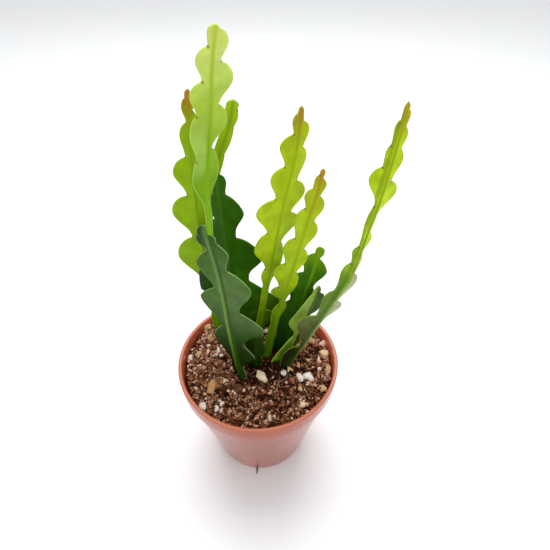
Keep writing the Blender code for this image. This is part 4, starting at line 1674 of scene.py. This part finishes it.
@dataclass(frozen=True)
class PottingMix:
    """The mix: a closed bed of peat under loose crumbs, grit, bark, fibres, perlite and stones.

    A named lump is (x, y, length, depth, heading), with its length along its heading, in degrees
    from +X, and its depth across it. A stone's sixth value is its tone, from tan to cream.

    Attributes:
        edge_height: height of the surface at the wall.
        mound: how much higher the middle is.
        heap: how much higher the surface lies against the wall on its high side.
        heap_turn: direction of that side, in degrees from +X.
        humps: (height, width) of the broad humps of the surface.
        clods: the same for its clods.
        crumbs: the same for its crumbs.
        floor: height of the bed's underside.
        wall_gap: clearance between the bed and the pot's wall.
        rings: rings of points on the surface.
        segments: points on a ring.
        crumb_count: number of loose crumbs.
        grit_count: number of fine grains of peat.
        speck_count: number of fine white grains.
        chip_count: number of small bark chips.
        fibre_count: number of coir fibres.
        bark_layers: slivers that a bark lump is split into.
        seed: picks where all of them lie.
        shade_spots: (x, y, radius) of the painted shade that darkens the mix round the stems' feet.
        perlite: the white grains that stand out.
        stones: the larger cream and tan stones.
        bark: the larger bark lumps.
    """

    edge_height: float = 80.6
    mound: float = 3.0
    heap: float = 3.2
    heap_turn: float = 148.0
    humps: tuple[float, float] = (1.0, 15.0)
    clods: tuple[float, float] = (1.4, 5.5)
    crumbs: tuple[float, float] = (0.45, 1.8)
    floor: float = 3.1
    wall_gap: float = 0.6
    rings: int = 110
    segments: int = 220
    crumb_count: int = 5200
    grit_count: int = 9000
    speck_count: int = 170
    chip_count: int = 300
    fibre_count: int = 260
    bark_layers: int = 4
    seed: int = 23
    shade_spots: tuple[tuple[float, float, float], ...] = ((12.0, 4.0, 12.0), (-4.0, -6.0, 9.0))
    perlite: tuple[tuple[float, ...], ...] = (
        (-46.5, 5.0, 3.6, 4.6, 0), (-28.0, 10.5, 2.6, 5.4, 10), (-29.5, 7.5, 4.0, 2.4, 0),
        (-25.5, 15.0, 3.0, 3.4, 0), (-33.5, -32.0, 4.0, 5.4, 0), (-34.5, -28.0, 2.2, 3.6, 0),
        (-22.0, -29.5, 3.4, 4.2, 20), (-25.5, -33.5, 3.2, 4.2, -30), (-21.5, -14.0, 2.4, 2.8, 0),
        (-8.5, -21.0, 2.2, 2.8, 0), (-2.5, -19.5, 2.0, 3.4, 0), (-6.0, -39.5, 2.4, 2.6, 0),
        (26.5, -11.0, 4.0, 6.8, 35), (33.0, -11.5, 6.8, 4.8, -15), (33.5, -8.0, 2.0, 2.4, 0),
        (17.0, -8.0, 4.4, 4.2, 0), (10.5, -12.5, 2.6, 3.6, 30), (45.5, -10.0, 3.6, 3.6, 0),
        (31.0, -36.0, 2.6, 3.6, 0), (41.0, 4.5, 1.6, 3.4, 0), (2.0, 4.0, 1.4, 3.0, 0),
        (4.5, 29.0, 2.8, 4.0, 0), (10.5, -37.5, 2.0, 2.0, 0), (21.5, -39.5, 2.4, 1.8, -20),
    )
    stones: tuple[tuple[float, ...], ...] = (
        (2.5, -11.5, 5.2, 10.0, 30, 0.75), (-29.0, -18.5, 4.8, 10.0, -12, 0.12),
        (-35.0, 22.0, 4.0, 5.4, 0, 0.2), (46.0, -3.5, 3.6, 7.0, 0, 0.35),
        (45.0, 7.5, 4.8, 5.8, 0, 0.5), (41.5, -18.5, 4.0, 5.2, 25, 0.4),
        (29.5, -30.0, 6.6, 3.6, 8, 0.65), (21.0, -7.5, 3.4, 6.2, 10, 0.5),
        (27.0, -19.0, 2.6, 3.8, 0, 0.4), (34.5, 2.0, 5.8, 2.8, 5, 0.3),
        (26.5, -2.0, 2.2, 3.8, 0, 0.3), (-41.0, 8.0, 3.8, 3.6, 0, 0.3),
        (-37.5, 31.0, 5.0, 3.6, 15, 0.4), (3.0, 34.5, 3.6, 3.6, 0, 0.3),
    )
    bark: tuple[tuple[float, ...], ...] = (
        (-26.0, 2.5, 13.0, 6.5, 4), (-24.0, -7.0, 16.0, 6.0, 3), (-18.5, -11.5, 10.0, 4.8, -4),
        (-13.0, -19.5, 9.0, 7.0, 0), (-21.0, -21.0, 5.4, 6.2, 10), (-41.0, -23.0, 4.0, 5.4, 0),
        (-15.5, -29.0, 6.0, 5.4, -10), (3.0, -38.5, 5.4, 4.6, 0), (-33.0, -9.5, 5.4, 4.0, 0),
        (29.0, 9.0, 6.0, 3.4, 8), (35.0, -25.5, 4.0, 4.6, 0), (-39.5, 16.0, 6.0, 4.6, 10),
        (17.5, -21.0, 6.0, 4.8, -10), (38.5, -2.5, 4.0, 4.8, 0), (-21.0, -39.0, 4.8, 3.4, 0),
    )

    def wall_radius(self, z: Array) -> Array:
        """Outer radius of the mix at a height, just clear of the pot's wall."""
        return Pot().body_radius(z) - Pot().wall - self.wall_gap

    def surface(self, x: Array, y: Array) -> Array:
        """Height of the bed: a low mound and a heap, with humps, clods and crumbs.

        It is edge + mound (1 - s^2) + heap u^4 + noise of three widths, with s the share of the
        way from the middle to the wall, and u how far uphill the place lies.

        Args:
            x: places across the pot.
            y: places from the front to the back.

        Returns:
            The height at each place.
        """
        spread = np.minimum(np.hypot(x, y) / self.wall_radius(self.edge_height), 1.0)
        place = np.stack([x, y, np.zeros_like(x)], axis=-1)
        humps = self.humps[0] * lattice_noise(place, self.humps[1], 3)
        clods = self.clods[0] * lattice_noise(place, self.clods[1], 4)
        crumbs = self.crumbs[0] * lattice_noise(place, self.crumbs[1], 5)
        base = self.edge_height + self.mound * (1.0 - spread**2) + self.heap * self.uphill(x, y) ** 4
        return base + humps + clods + crumbs

    def uphill(self, x: Array, y: Array) -> Array:
        """How far places lie towards the high side.

        Args:
            x: places across the pot.
            y: places from the front to the back.

        Returns:
            1 at the wall on the high side, falling evenly to 0 at the middle and beyond it.
        """
        turn = math.radians(self.heap_turn)
        way = x * math.cos(turn) + y * math.sin(turn)
        return np.clip(way / self.wall_radius(self.edge_height), 0.0, 1.0)

    def dryness_and_shade(self, x: Array, y: Array) -> Array:
        """Tone from a drier mix and painted shade: noise, plus a share of uphill, less a bell per
        shade spot.

        Args:
            x: places across the pot.
            y: places from the front to the back.

        Returns:
            A number for each place, below 0 where painted shade darkens the mix.
        """
        place = np.stack([x, y, np.zeros_like(x)], axis=-1)
        drift = 0.1 * lattice_noise(place, 13.0, 9) + 0.12 * lattice_noise(place, 4.5, 10)
        dryness_and_shade = drift + 0.22 * self.uphill(x, y)
        # painted shade: a dark bell round each spot, where the stems shade the mix at their feet
        for middle_x, middle_y, radius in self.shade_spots:
            apart = (x - middle_x) ** 2 + (y - middle_y) ** 2
            dryness_and_shade -= 0.55 * np.exp(-apart / radius**2)
        return dryness_and_shade

    def bed(self) -> Skin:
        """The closed bed: bottom, tapering side and the surface's rings closing on the middle.

        Returns:
            The skin, with the value tone.
        """
        turn = 2.0 * np.pi * np.arange(self.segments) / self.segments
        low = self.wall_radius(self.floor)
        chamfer = 1.5
        base = [(low - chamfer, self.floor), (low, self.floor + chamfer)]
        base += [(self.wall_radius(z), z) for z in np.linspace(12.0, self.edge_height - 2.5, 8)]
        edge = self.wall_radius(self.edge_height - 2.0)
        radii = edge * np.arange(self.rings, 0, -1) / self.rings
        radius, z = (np.array(column)[:, None] for column in zip(*base))
        side = np.broadcast_arrays(radius * np.cos(turn), radius * np.sin(turn), z)
        side = np.stack(side, axis=-1)
        x = radii[:, None] * np.cos(turn)
        y = radii[:, None] * np.sin(turn)
        top = np.stack([x, y, self.surface(x, y)], axis=-1)
        middle = self.surface(np.zeros(1), np.zeros(1))[0]
        points = np.vstack([
            [[0.0, 0.0, self.floor]], side.reshape(-1, 3), top.reshape(-1, 3), [[0.0, 0.0, middle]],
        ])
        # partly painted shade: the bed is kept dark so the gaps between the crumbs read as shade
        tone = 0.14 + 0.1 * lattice_noise(points, 3.0, 8)
        return Skin(points, tube_faces(len(base) + self.rings, self.segments), {"tone": tone})

    def scatter(
        self,
        random: np.random.Generator,
        count: int,
        margin: float,
    ) -> tuple[Array, Array]:
        """Evenly spread random places: turn is uniform, and radius goes as the root of a share.

        Args:
            random: source of chance.
            count: number of places.
            margin: how far they keep from the wall.

        Returns:
            The places' x and y.
        """
        widest = self.wall_radius(self.edge_height) - margin
        radius = widest * np.sqrt(random.uniform(0.0, 1.0, count))
        turn = random.uniform(0.0, 2.0 * np.pi, count)
        return radius * np.cos(turn), radius * np.sin(turn)

    def on_surface(self, x: Array, y: Array, lift: Array) -> Array:
        """Points of the surface, raised by the lift."""
        return np.stack([x, y, self.surface(x, y) + lift], axis=1)

    def named_lumps(
        self,
        places: Sequence[Sequence[float]],
        flat: float,
        lift: float,
        lumps: Lumps,
    ) -> Skin:
        """Lumps at given places, as long and as deep as given.

        Args:
            places: the lumps, as in the class's description.
            flat: a lump's height, as a share of its smaller width.
            lift: height of its middle above the surface, as a share of the same.
            lumps: the shape to use.

        Returns:
            The lumps as one skin.
        """
        random = np.random.default_rng(self.seed + lumps.seed)
        spots = np.array([place[:5] for place in places], dtype=float)
        small = spots[:, 2:4].min(axis=1)
        radii = 0.5 * np.stack([spots[:, 2], spots[:, 3], flat * small], axis=1)
        centres = self.on_surface(spots[:, 0], spots[:, 1], lift * small)
        tone = [place[5] if len(place) > 5 else random.uniform(0.25, 0.8) for place in places]
        return lumps.skin(centres, radii, np.array(tone), spots[:, 4])

    def build(self) -> None:
        """Lays the bed, then everything on it."""
        random = np.random.default_rng(self.seed)
        bed = make_piece("peat_bed", self.bed(), EARTH.material())
        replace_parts(bed, "soil")
        crumbs = Lumps(3, 6, 0.4, corner=3.0, seed=2)
        self.strew("peat_crumbs", random, self.crumb_count, 0.42, crumbs)
        self.strew("peat_grit", random, self.grit_count, 0.2, Lumps(2, 5, 0.35, seed=9))
        self.lay_bark(random)
        self.lay_perlite(random)
        stones = self.named_lumps(self.stones, 0.8, 0.3, Lumps(14, 22, 0.5, corner=2.6, seed=7))
        make_piece("pumice", stones, PUMICE.material())
        make_piece("coir", self.fibres(random), FIBRE.material())

    def strew(
        self,
        name: str,
        random: np.random.Generator,
        count: int,
        smallest: float,
        lumps: Lumps,
    ) -> None:
        """Strews loose angular crumbs of every tone over the bed.

        Args:
            name: the piece's name.
            random: source of chance.
            count: number of crumbs.
            smallest: least radius, in millimetres; most are up to twice that.
            lumps: the shape to use.
        """
        x, y = self.scatter(random, count, 1.2)
        size = smallest * (1.0 + random.gamma(2.0, 0.4, count))
        radii = size[:, None] * random.uniform(0.4, 1.4, (count, 3))
        tone = random.beta(1.15, 1.7, count) + self.dryness_and_shade(x, y)
        centres = self.on_surface(x, y, 0.5 * size + random.uniform(0.0, 0.7, count))
        skin = lumps.skin(centres, radii, np.clip(tone, 0.02, 0.98))
        make_piece(name, skin, EARTH.material(), smooth=False)

    def lay_bark(self, random: np.random.Generator) -> None:
        """Scatters small bark chips and lays the larger lumps.

        Args:
            random: source of chance.
        """
        count = self.chip_count
        x, y = self.scatter(random, count, 3.0)
        size = random.uniform(1.0, 2.4, count)
        radii = size[:, None] * np.array([1.0, 0.55, 0.3]) * random.uniform(0.8, 1.25, (count, 3))
        tone = np.clip(random.beta(1.6, 2.4, count) + self.dryness_and_shade(x, y), 0.0, 1.0)
        centres = self.on_surface(x, y, 0.5 + 0.2 * size)
        chips = Lumps(4, 8, 0.3, corner=3.0, seed=3)
        small = chips.skin(centres, radii, tone, random.uniform(0.0, 360.0, count))
        lumps = Lumps(9, 14, 0.45, corner=2.6, seed=4)
        large = self.named_lumps(self.slivers(random), 0.9, 0.35, lumps)
        make_piece("bark_chips", small.joined(large), BARK.material(), smooth=False)

    def slivers(self, random: np.random.Generator) -> list[tuple[float, ...]]:
        """Splits each bark lump into a few slivers that lie side by side, of different tones.

        Args:
            random: source of chance.

        Returns:
            The slivers, each as a named lump with a tone.
        """
        made = []
        for x, y, length, depth, heading in self.bark:
            turn = math.radians(heading)
            for across in np.linspace(-0.38, 0.38, self.bark_layers) * depth:
                along = random.uniform(-0.12, 0.12) * length
                made.append((
                    x + along * math.cos(turn) - across * math.sin(turn),
                    y + along * math.sin(turn) + across * math.cos(turn),
                    random.uniform(0.6, 0.95) * length,
                    random.uniform(0.28, 0.48) * depth,
                    heading + random.normal(0.0, 9.0),
                    random.uniform(0.0, 0.7),
                ))
        return made

    def lay_perlite(self, random: np.random.Generator) -> None:
        """Scatters fine pale specks and lays the larger white grains.

        Args:
            random: source of chance.
        """
        count = self.speck_count
        x, y = self.scatter(random, count, 1.5)
        size = 0.2 + random.gamma(2.0, 0.14, count)
        radii = size[:, None] * random.uniform(0.7, 1.2, (count, 3))
        centres = self.on_surface(x, y, 0.9 + 0.4 * size)
        specks = Lumps(3, 6, 0.35, seed=5)
        grains = specks.skin(centres, radii, random.uniform(0.0, 0.45, count))
        lumps = Lumps(7, 11, 0.4, corner=2.6, seed=6)
        large = self.named_lumps(self.perlite, 0.9, 0.3, lumps)
        make_piece("perlite", grains.joined(large), PERLITE.material(), smooth=False)

    def fibres(self, random: np.random.Generator) -> Skin:
        """Short curly fibres that lie over the crumbs.

        A fibre's heading turns evenly along it, so it is an arc of a circle in plan. Its height
        follows the surface in part, with a low arch sin(pi t) on top.

        Args:
            random: source of chance.

        Returns:
            The skin, with the value tone.
        """
        count = self.fibre_count
        t = np.linspace(0.0, 1.0, 9)
        x, y = self.scatter(random, count, 7.0)
        length = random.uniform(3.0, 9.0, count)
        heading = random.uniform(0.0, 2.0 * np.pi, count)[:, None]
        curve = random.normal(0.0, 1.3, count)[:, None]
        way = heading + curve * t
        step = length[:, None] / (len(t) - 1)
        px = x[:, None] + np.cumsum(step * np.cos(way), axis=1)
        py = y[:, None] + np.cumsum(step * np.sin(way), axis=1)
        pz = self.surface(px, py)
        pz = 0.6 * pz.mean(axis=1)[:, None] + 0.4 * pz
        above_crumbs = 1.3
        pz = pz + above_crumbs + random.uniform(0.0, 1.0, count)[:, None] * np.sin(np.pi * t)
        paths = np.stack([px, py, pz], axis=-1)
        radius = np.full(len(t), 0.12)
        return strands(paths, radius, random.uniform(0.1, 0.9, count))


# ----------------------------------------------------------
# Pot
# ----------------------------------------------------------


@dataclass(frozen=True)
class Pot:
    """Tapered thin-walled nursery pot with an upright rim band and a ring of drain holes.

    Attributes:
        height: height of the rim's top.
        rim_radius: outer radius of the rim.
        rim_width: how much smaller the opening's radius is.
        band_height: height of the upright band under the rim.
        band_draft: how much narrower the band's foot is than the rim, on the radius.
        top_radius: outer radius of the wall where it meets the band.
        base_radius: outer radius of the wall at the table.
        wall: thickness of the wall.
        floor_top: height of the floor's upper side.
        floor_underside: height of its lower side.
        foot_radius: outer radius of the ring that the pot stands on.
        foot_width: width of that ring.
        pad_radius: radius of the pad in the middle of the underside.
        drain_holes: number of holes in the floor.
        drain_radius: radius of a hole.
        drain_ring: radius of the circle that they lie on.
        segments: points round the pot.
        root_end: path of the root end that pokes out under the foot.
        root_radius: its radius at the pot and at its tip.
    """

    height: float = 90.0
    rim_radius: float = 52.5
    rim_width: float = 2.6
    band_height: float = 10.5
    band_draft: float = 0.6
    top_radius: float = 50.3
    base_radius: float = 33.2
    wall: float = 1.1
    floor_top: float = 2.6
    floor_underside: float = 1.4
    foot_radius: float = 31.8
    foot_width: float = 3.3
    pad_radius: float = 9.0
    drain_holes: int = 8
    drain_radius: float = 3.2
    drain_ring: float = 20.0
    segments: int = 192
    root_end: tuple[Point, ...] = (
        (-2.4, -30.0, 1.0), (-2.4, -33.0, 0.8), (-2.1, -35.0, 0.7), (-2.5, -37.4, 0.45),
    )
    root_radius: tuple[float, float] = (0.65, 0.25)

    def body_radius(self, z: Array) -> Array:
        """Outer radius of the tapered wall at a height."""
        share = z / (self.height - self.band_height)
        return self.base_radius + (self.top_radius - self.base_radius) * share

    def corners(self) -> list[Point]:
        """Corners of the profile, up the inside, over the rim, down outside and under the floor.

        Returns:
            (radius, height, rounding) of each corner.
        """
        band = self.height - self.band_height
        inner = self.rim_radius - self.rim_width
        foot = self.foot_radius - self.foot_width
        body = self.body_radius
        return [
            (body(self.floor_top) - self.wall, self.floor_top, 1.6),
            (body(band) - self.wall, band, 0.8),
            (inner, self.height, 1.1),
            (self.rim_radius, self.height, 0.9),
            (self.rim_radius - self.band_draft, band, 0.4),
            (body(band) + 0.05, band - 0.1, 0.3),
            (body(1.2), 1.2, 0.9),
            (self.foot_radius, 0.0, 0.5),
            (foot, 0.0, 0.4),
            (foot - 0.7, self.floor_underside, 0.4),
            (self.pad_radius + 0.7, self.floor_underside, 0.4),
            (self.pad_radius, 0.0, 0.4),
        ]

    def profile(self) -> Array:
        """The corners rounded off: each gives way to a quadratic curve between its two sides.

        A corner C with rounding r is replaced by (1-t)^2 A + 2t(1-t) C + t^2 B, where A and B
        lie r away from it towards its neighbours.

        Returns:
            (radius, height) of each point, without the two poles.
        """
        given = self.corners()
        points = np.array([(0.0, self.floor_top), *[corner[:2] for corner in given], (0.0, 0.0)])
        t = np.linspace(0.0, 1.0, 6)[:, None]
        curve = []
        for i, (_, _, rounding) in enumerate(given, start=1):
            before, corner, after = points[i - 1], points[i], points[i + 1]
            reach = min(rounding, 0.45 * math.dist(before, corner), 0.45 * math.dist(after, corner))
            a = corner + reach * (before - corner) / math.dist(before, corner)
            b = corner + reach * (after - corner) / math.dist(after, corner)
            curve.append((1 - t) ** 2 * a + 2 * t * (1 - t) * corner + t**2 * b)
        return np.vstack(curve)

    def skin(self) -> Skin:
        """The profile turned about the pot's axis, closed by a pole above and below the floor.

        Returns:
            The skin.
        """
        profile = self.profile()
        turn = -2.0 * np.pi * np.arange(self.segments) / self.segments
        rings = np.stack([
            profile[:, :1] * np.cos(turn),
            profile[:, :1] * np.sin(turn),
            np.broadcast_to(profile[:, 1:], (len(profile), self.segments)),
        ], axis=-1)
        points = np.vstack([[[0.0, 0.0, self.floor_top]], rings.reshape(-1, 3), [[0.0, 0.0, 0.0]]])
        return Skin(points, tube_faces(len(profile), self.segments))

    def drill(self, pot: bpy.types.Object) -> None:
        """Cuts the ring of drain holes through the floor.

        Args:
            pot: the pot, whose mesh gives way to the drilled one.
        """
        cutters = bpy.data.collections.new("drain_cutters")
        for i in range(self.drain_holes):
            turn = 2.0 * math.pi * i / self.drain_holes
            bpy.ops.mesh.primitive_cylinder_add(
                vertices=32,
                radius=self.drain_radius * MM,
                depth=4.0 * self.floor_top * MM,
                location=(
                    self.drain_ring * MM * math.cos(turn),
                    self.drain_ring * MM * math.sin(turn),
                    0.5 * (self.floor_top + self.floor_underside) * MM,
                ),
            )
            cutter = bpy.context.object
            for owner in list(cutter.users_collection):
                owner.objects.unlink(cutter)
            cutters.objects.link(cutter)
        drains = pot.modifiers.new("drains", "BOOLEAN")
        drains.operand_type = "COLLECTION"
        drains.collection = cutters
        graph = bpy.context.evaluated_depsgraph_get()
        cut = bpy.data.meshes.new_from_object(pot.evaluated_get(graph))
        pot.modifiers.clear()
        pot.data = cut
        for cutter in list(cutters.objects):
            bpy.data.objects.remove(cutter, do_unlink=True)
        bpy.data.collections.remove(cutters)

    def build(self) -> None:
        """Turns the pot, drills it, and lets a root end show from under its foot."""
        pot = make_piece("nursery_pot", self.skin(), PotFinish().material())
        self.drill(pot)
        pot.data.set_sharp_from_angle(angle=math.radians(50))
        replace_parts(pot, "pot")
        path = smooth_path(self.root_end, 4)[None]
        radius = np.linspace(*self.root_radius, path.shape[1])
        root = strands(path, radius, np.array([0.1]), 8)
        make_piece("root_end", root, BARK.material())


# ----------------------------------------------------------
# Setting
# ----------------------------------------------------------


@dataclass(frozen=True)
class Lamp:
    """A square soft lamp, in metres and watts.

    Attributes:
        name: the lamp's name.
        place: where it hangs.
        target: the point that it faces.
        width: length of its sides.
        power: its power.
    """

    name: str
    place: Point
    target: Point
    width: float
    power: float

    def hang(self) -> None:
        """Hangs the lamp, with its face turned to its target."""
        data = bpy.data.lights.new(self.name, "AREA")
        data.shape = "SQUARE"
        data.size = self.width
        data.energy = self.power
        lamp = bpy.data.objects.new(self.name, data)
        bpy.context.scene.collection.objects.link(lamp)
        dx, dy, dz = (b - a for a, b in zip(self.place, self.target))
        lamp.location = self.place
        lamp.rotation_euler = (math.atan2(math.hypot(dx, dy), -dz), 0.0, math.atan2(-dx, dy))


@dataclass(frozen=True)
class Setting:
    """Plain pale floor, soft studio light and the camera, in metres.

    Attributes:
        floor_half: half the floor's width.
        floor_colour: its colour.
        floor_gloss: its roughness.
        lamps: the lamps.
        lens: the camera's focal length, in millimetres.
        sensor: width of its sensor, in millimetres.
        camera_place: where it is held.
        camera_pitch: degrees between its view and straight down.
        sky: colour of the light from all round.
        sky_strength: its strength.
    """

    floor_half: float = 3.0
    floor_colour: Colour = (0.91, 0.92, 0.93)
    floor_gloss: float = 0.45
    lamps: tuple[Lamp, ...] = (
        Lamp("softbox", (-0.03, 0.5, 1.15), (0.0, 0.0, 0.1), width=1.0, power=11.5),
        Lamp("front_fill", (0.5, -0.9, 0.8), (0.0, 0.0, 0.12), width=0.8, power=1.2),
    )
    lens: float = 28.15
    sensor: float = 36.0
    camera_place: Point = (0.011, -0.175, 0.321)
    camera_pitch: float = 48.0
    sky: Colour = (0.98, 0.99, 1.0)
    sky_strength: float = 0.8

    def build(self) -> None:
        """Lays the floor, hangs the lamps and sets up the camera."""
        self.lay_floor()
        for lamp in self.lamps:
            lamp.hang()
        self.shine_sky()
        self.aim_camera()

    def lay_floor(self) -> None:
        """A large pale sheet under the pot."""
        half = self.floor_half
        mesh = bpy.data.meshes.new("floor")
        corners = [(-half, -half, 0.0), (half, -half, 0.0), (half, half, 0.0), (-half, half, 0.0)]
        mesh.from_pydata(corners, [], [(0, 1, 2, 3)])
        r = Recipe("pale_floor")
        mesh.materials.append(r.finish(self.floor_colour, self.floor_gloss))
        floor = bpy.data.objects.new("floor", mesh)
        bpy.context.scene.collection.objects.link(floor)

    def shine_sky(self) -> None:
        """Even light from all round."""
        world = bpy.data.worlds.new("soft_sky")
        world.use_nodes = True
        background = world.node_tree.nodes["Background"]
        background.inputs["Color"].default_value = (*self.sky, 1.0)
        background.inputs["Strength"].default_value = self.sky_strength
        bpy.context.scene.world = world
        bpy.context.scene.view_settings.view_transform = "Standard"

    def aim_camera(self) -> None:
        """A hand-held view from above the front of the pot."""
        data = bpy.data.cameras.new("camera")
        data.sensor_fit = "HORIZONTAL"
        data.sensor_width = self.sensor
        data.lens = self.lens
        data.clip_start = 0.01
        camera = bpy.data.objects.new("camera", data)
        camera.location = self.camera_place
        camera.rotation_euler = (math.radians(self.camera_pitch), 0.0, 0.0)
        bpy.context.scene.collection.objects.link(camera)
        bpy.context.scene.camera = camera


def main() -> None:
    """Builds the setting and the object."""
    logging.basicConfig(level=logging.INFO, format="%(name)s %(message)s")
    Setting().build()
    Pot().build()
    PottingMix().build()
    Clump().build()


if __name__ == "__main__":
    main()
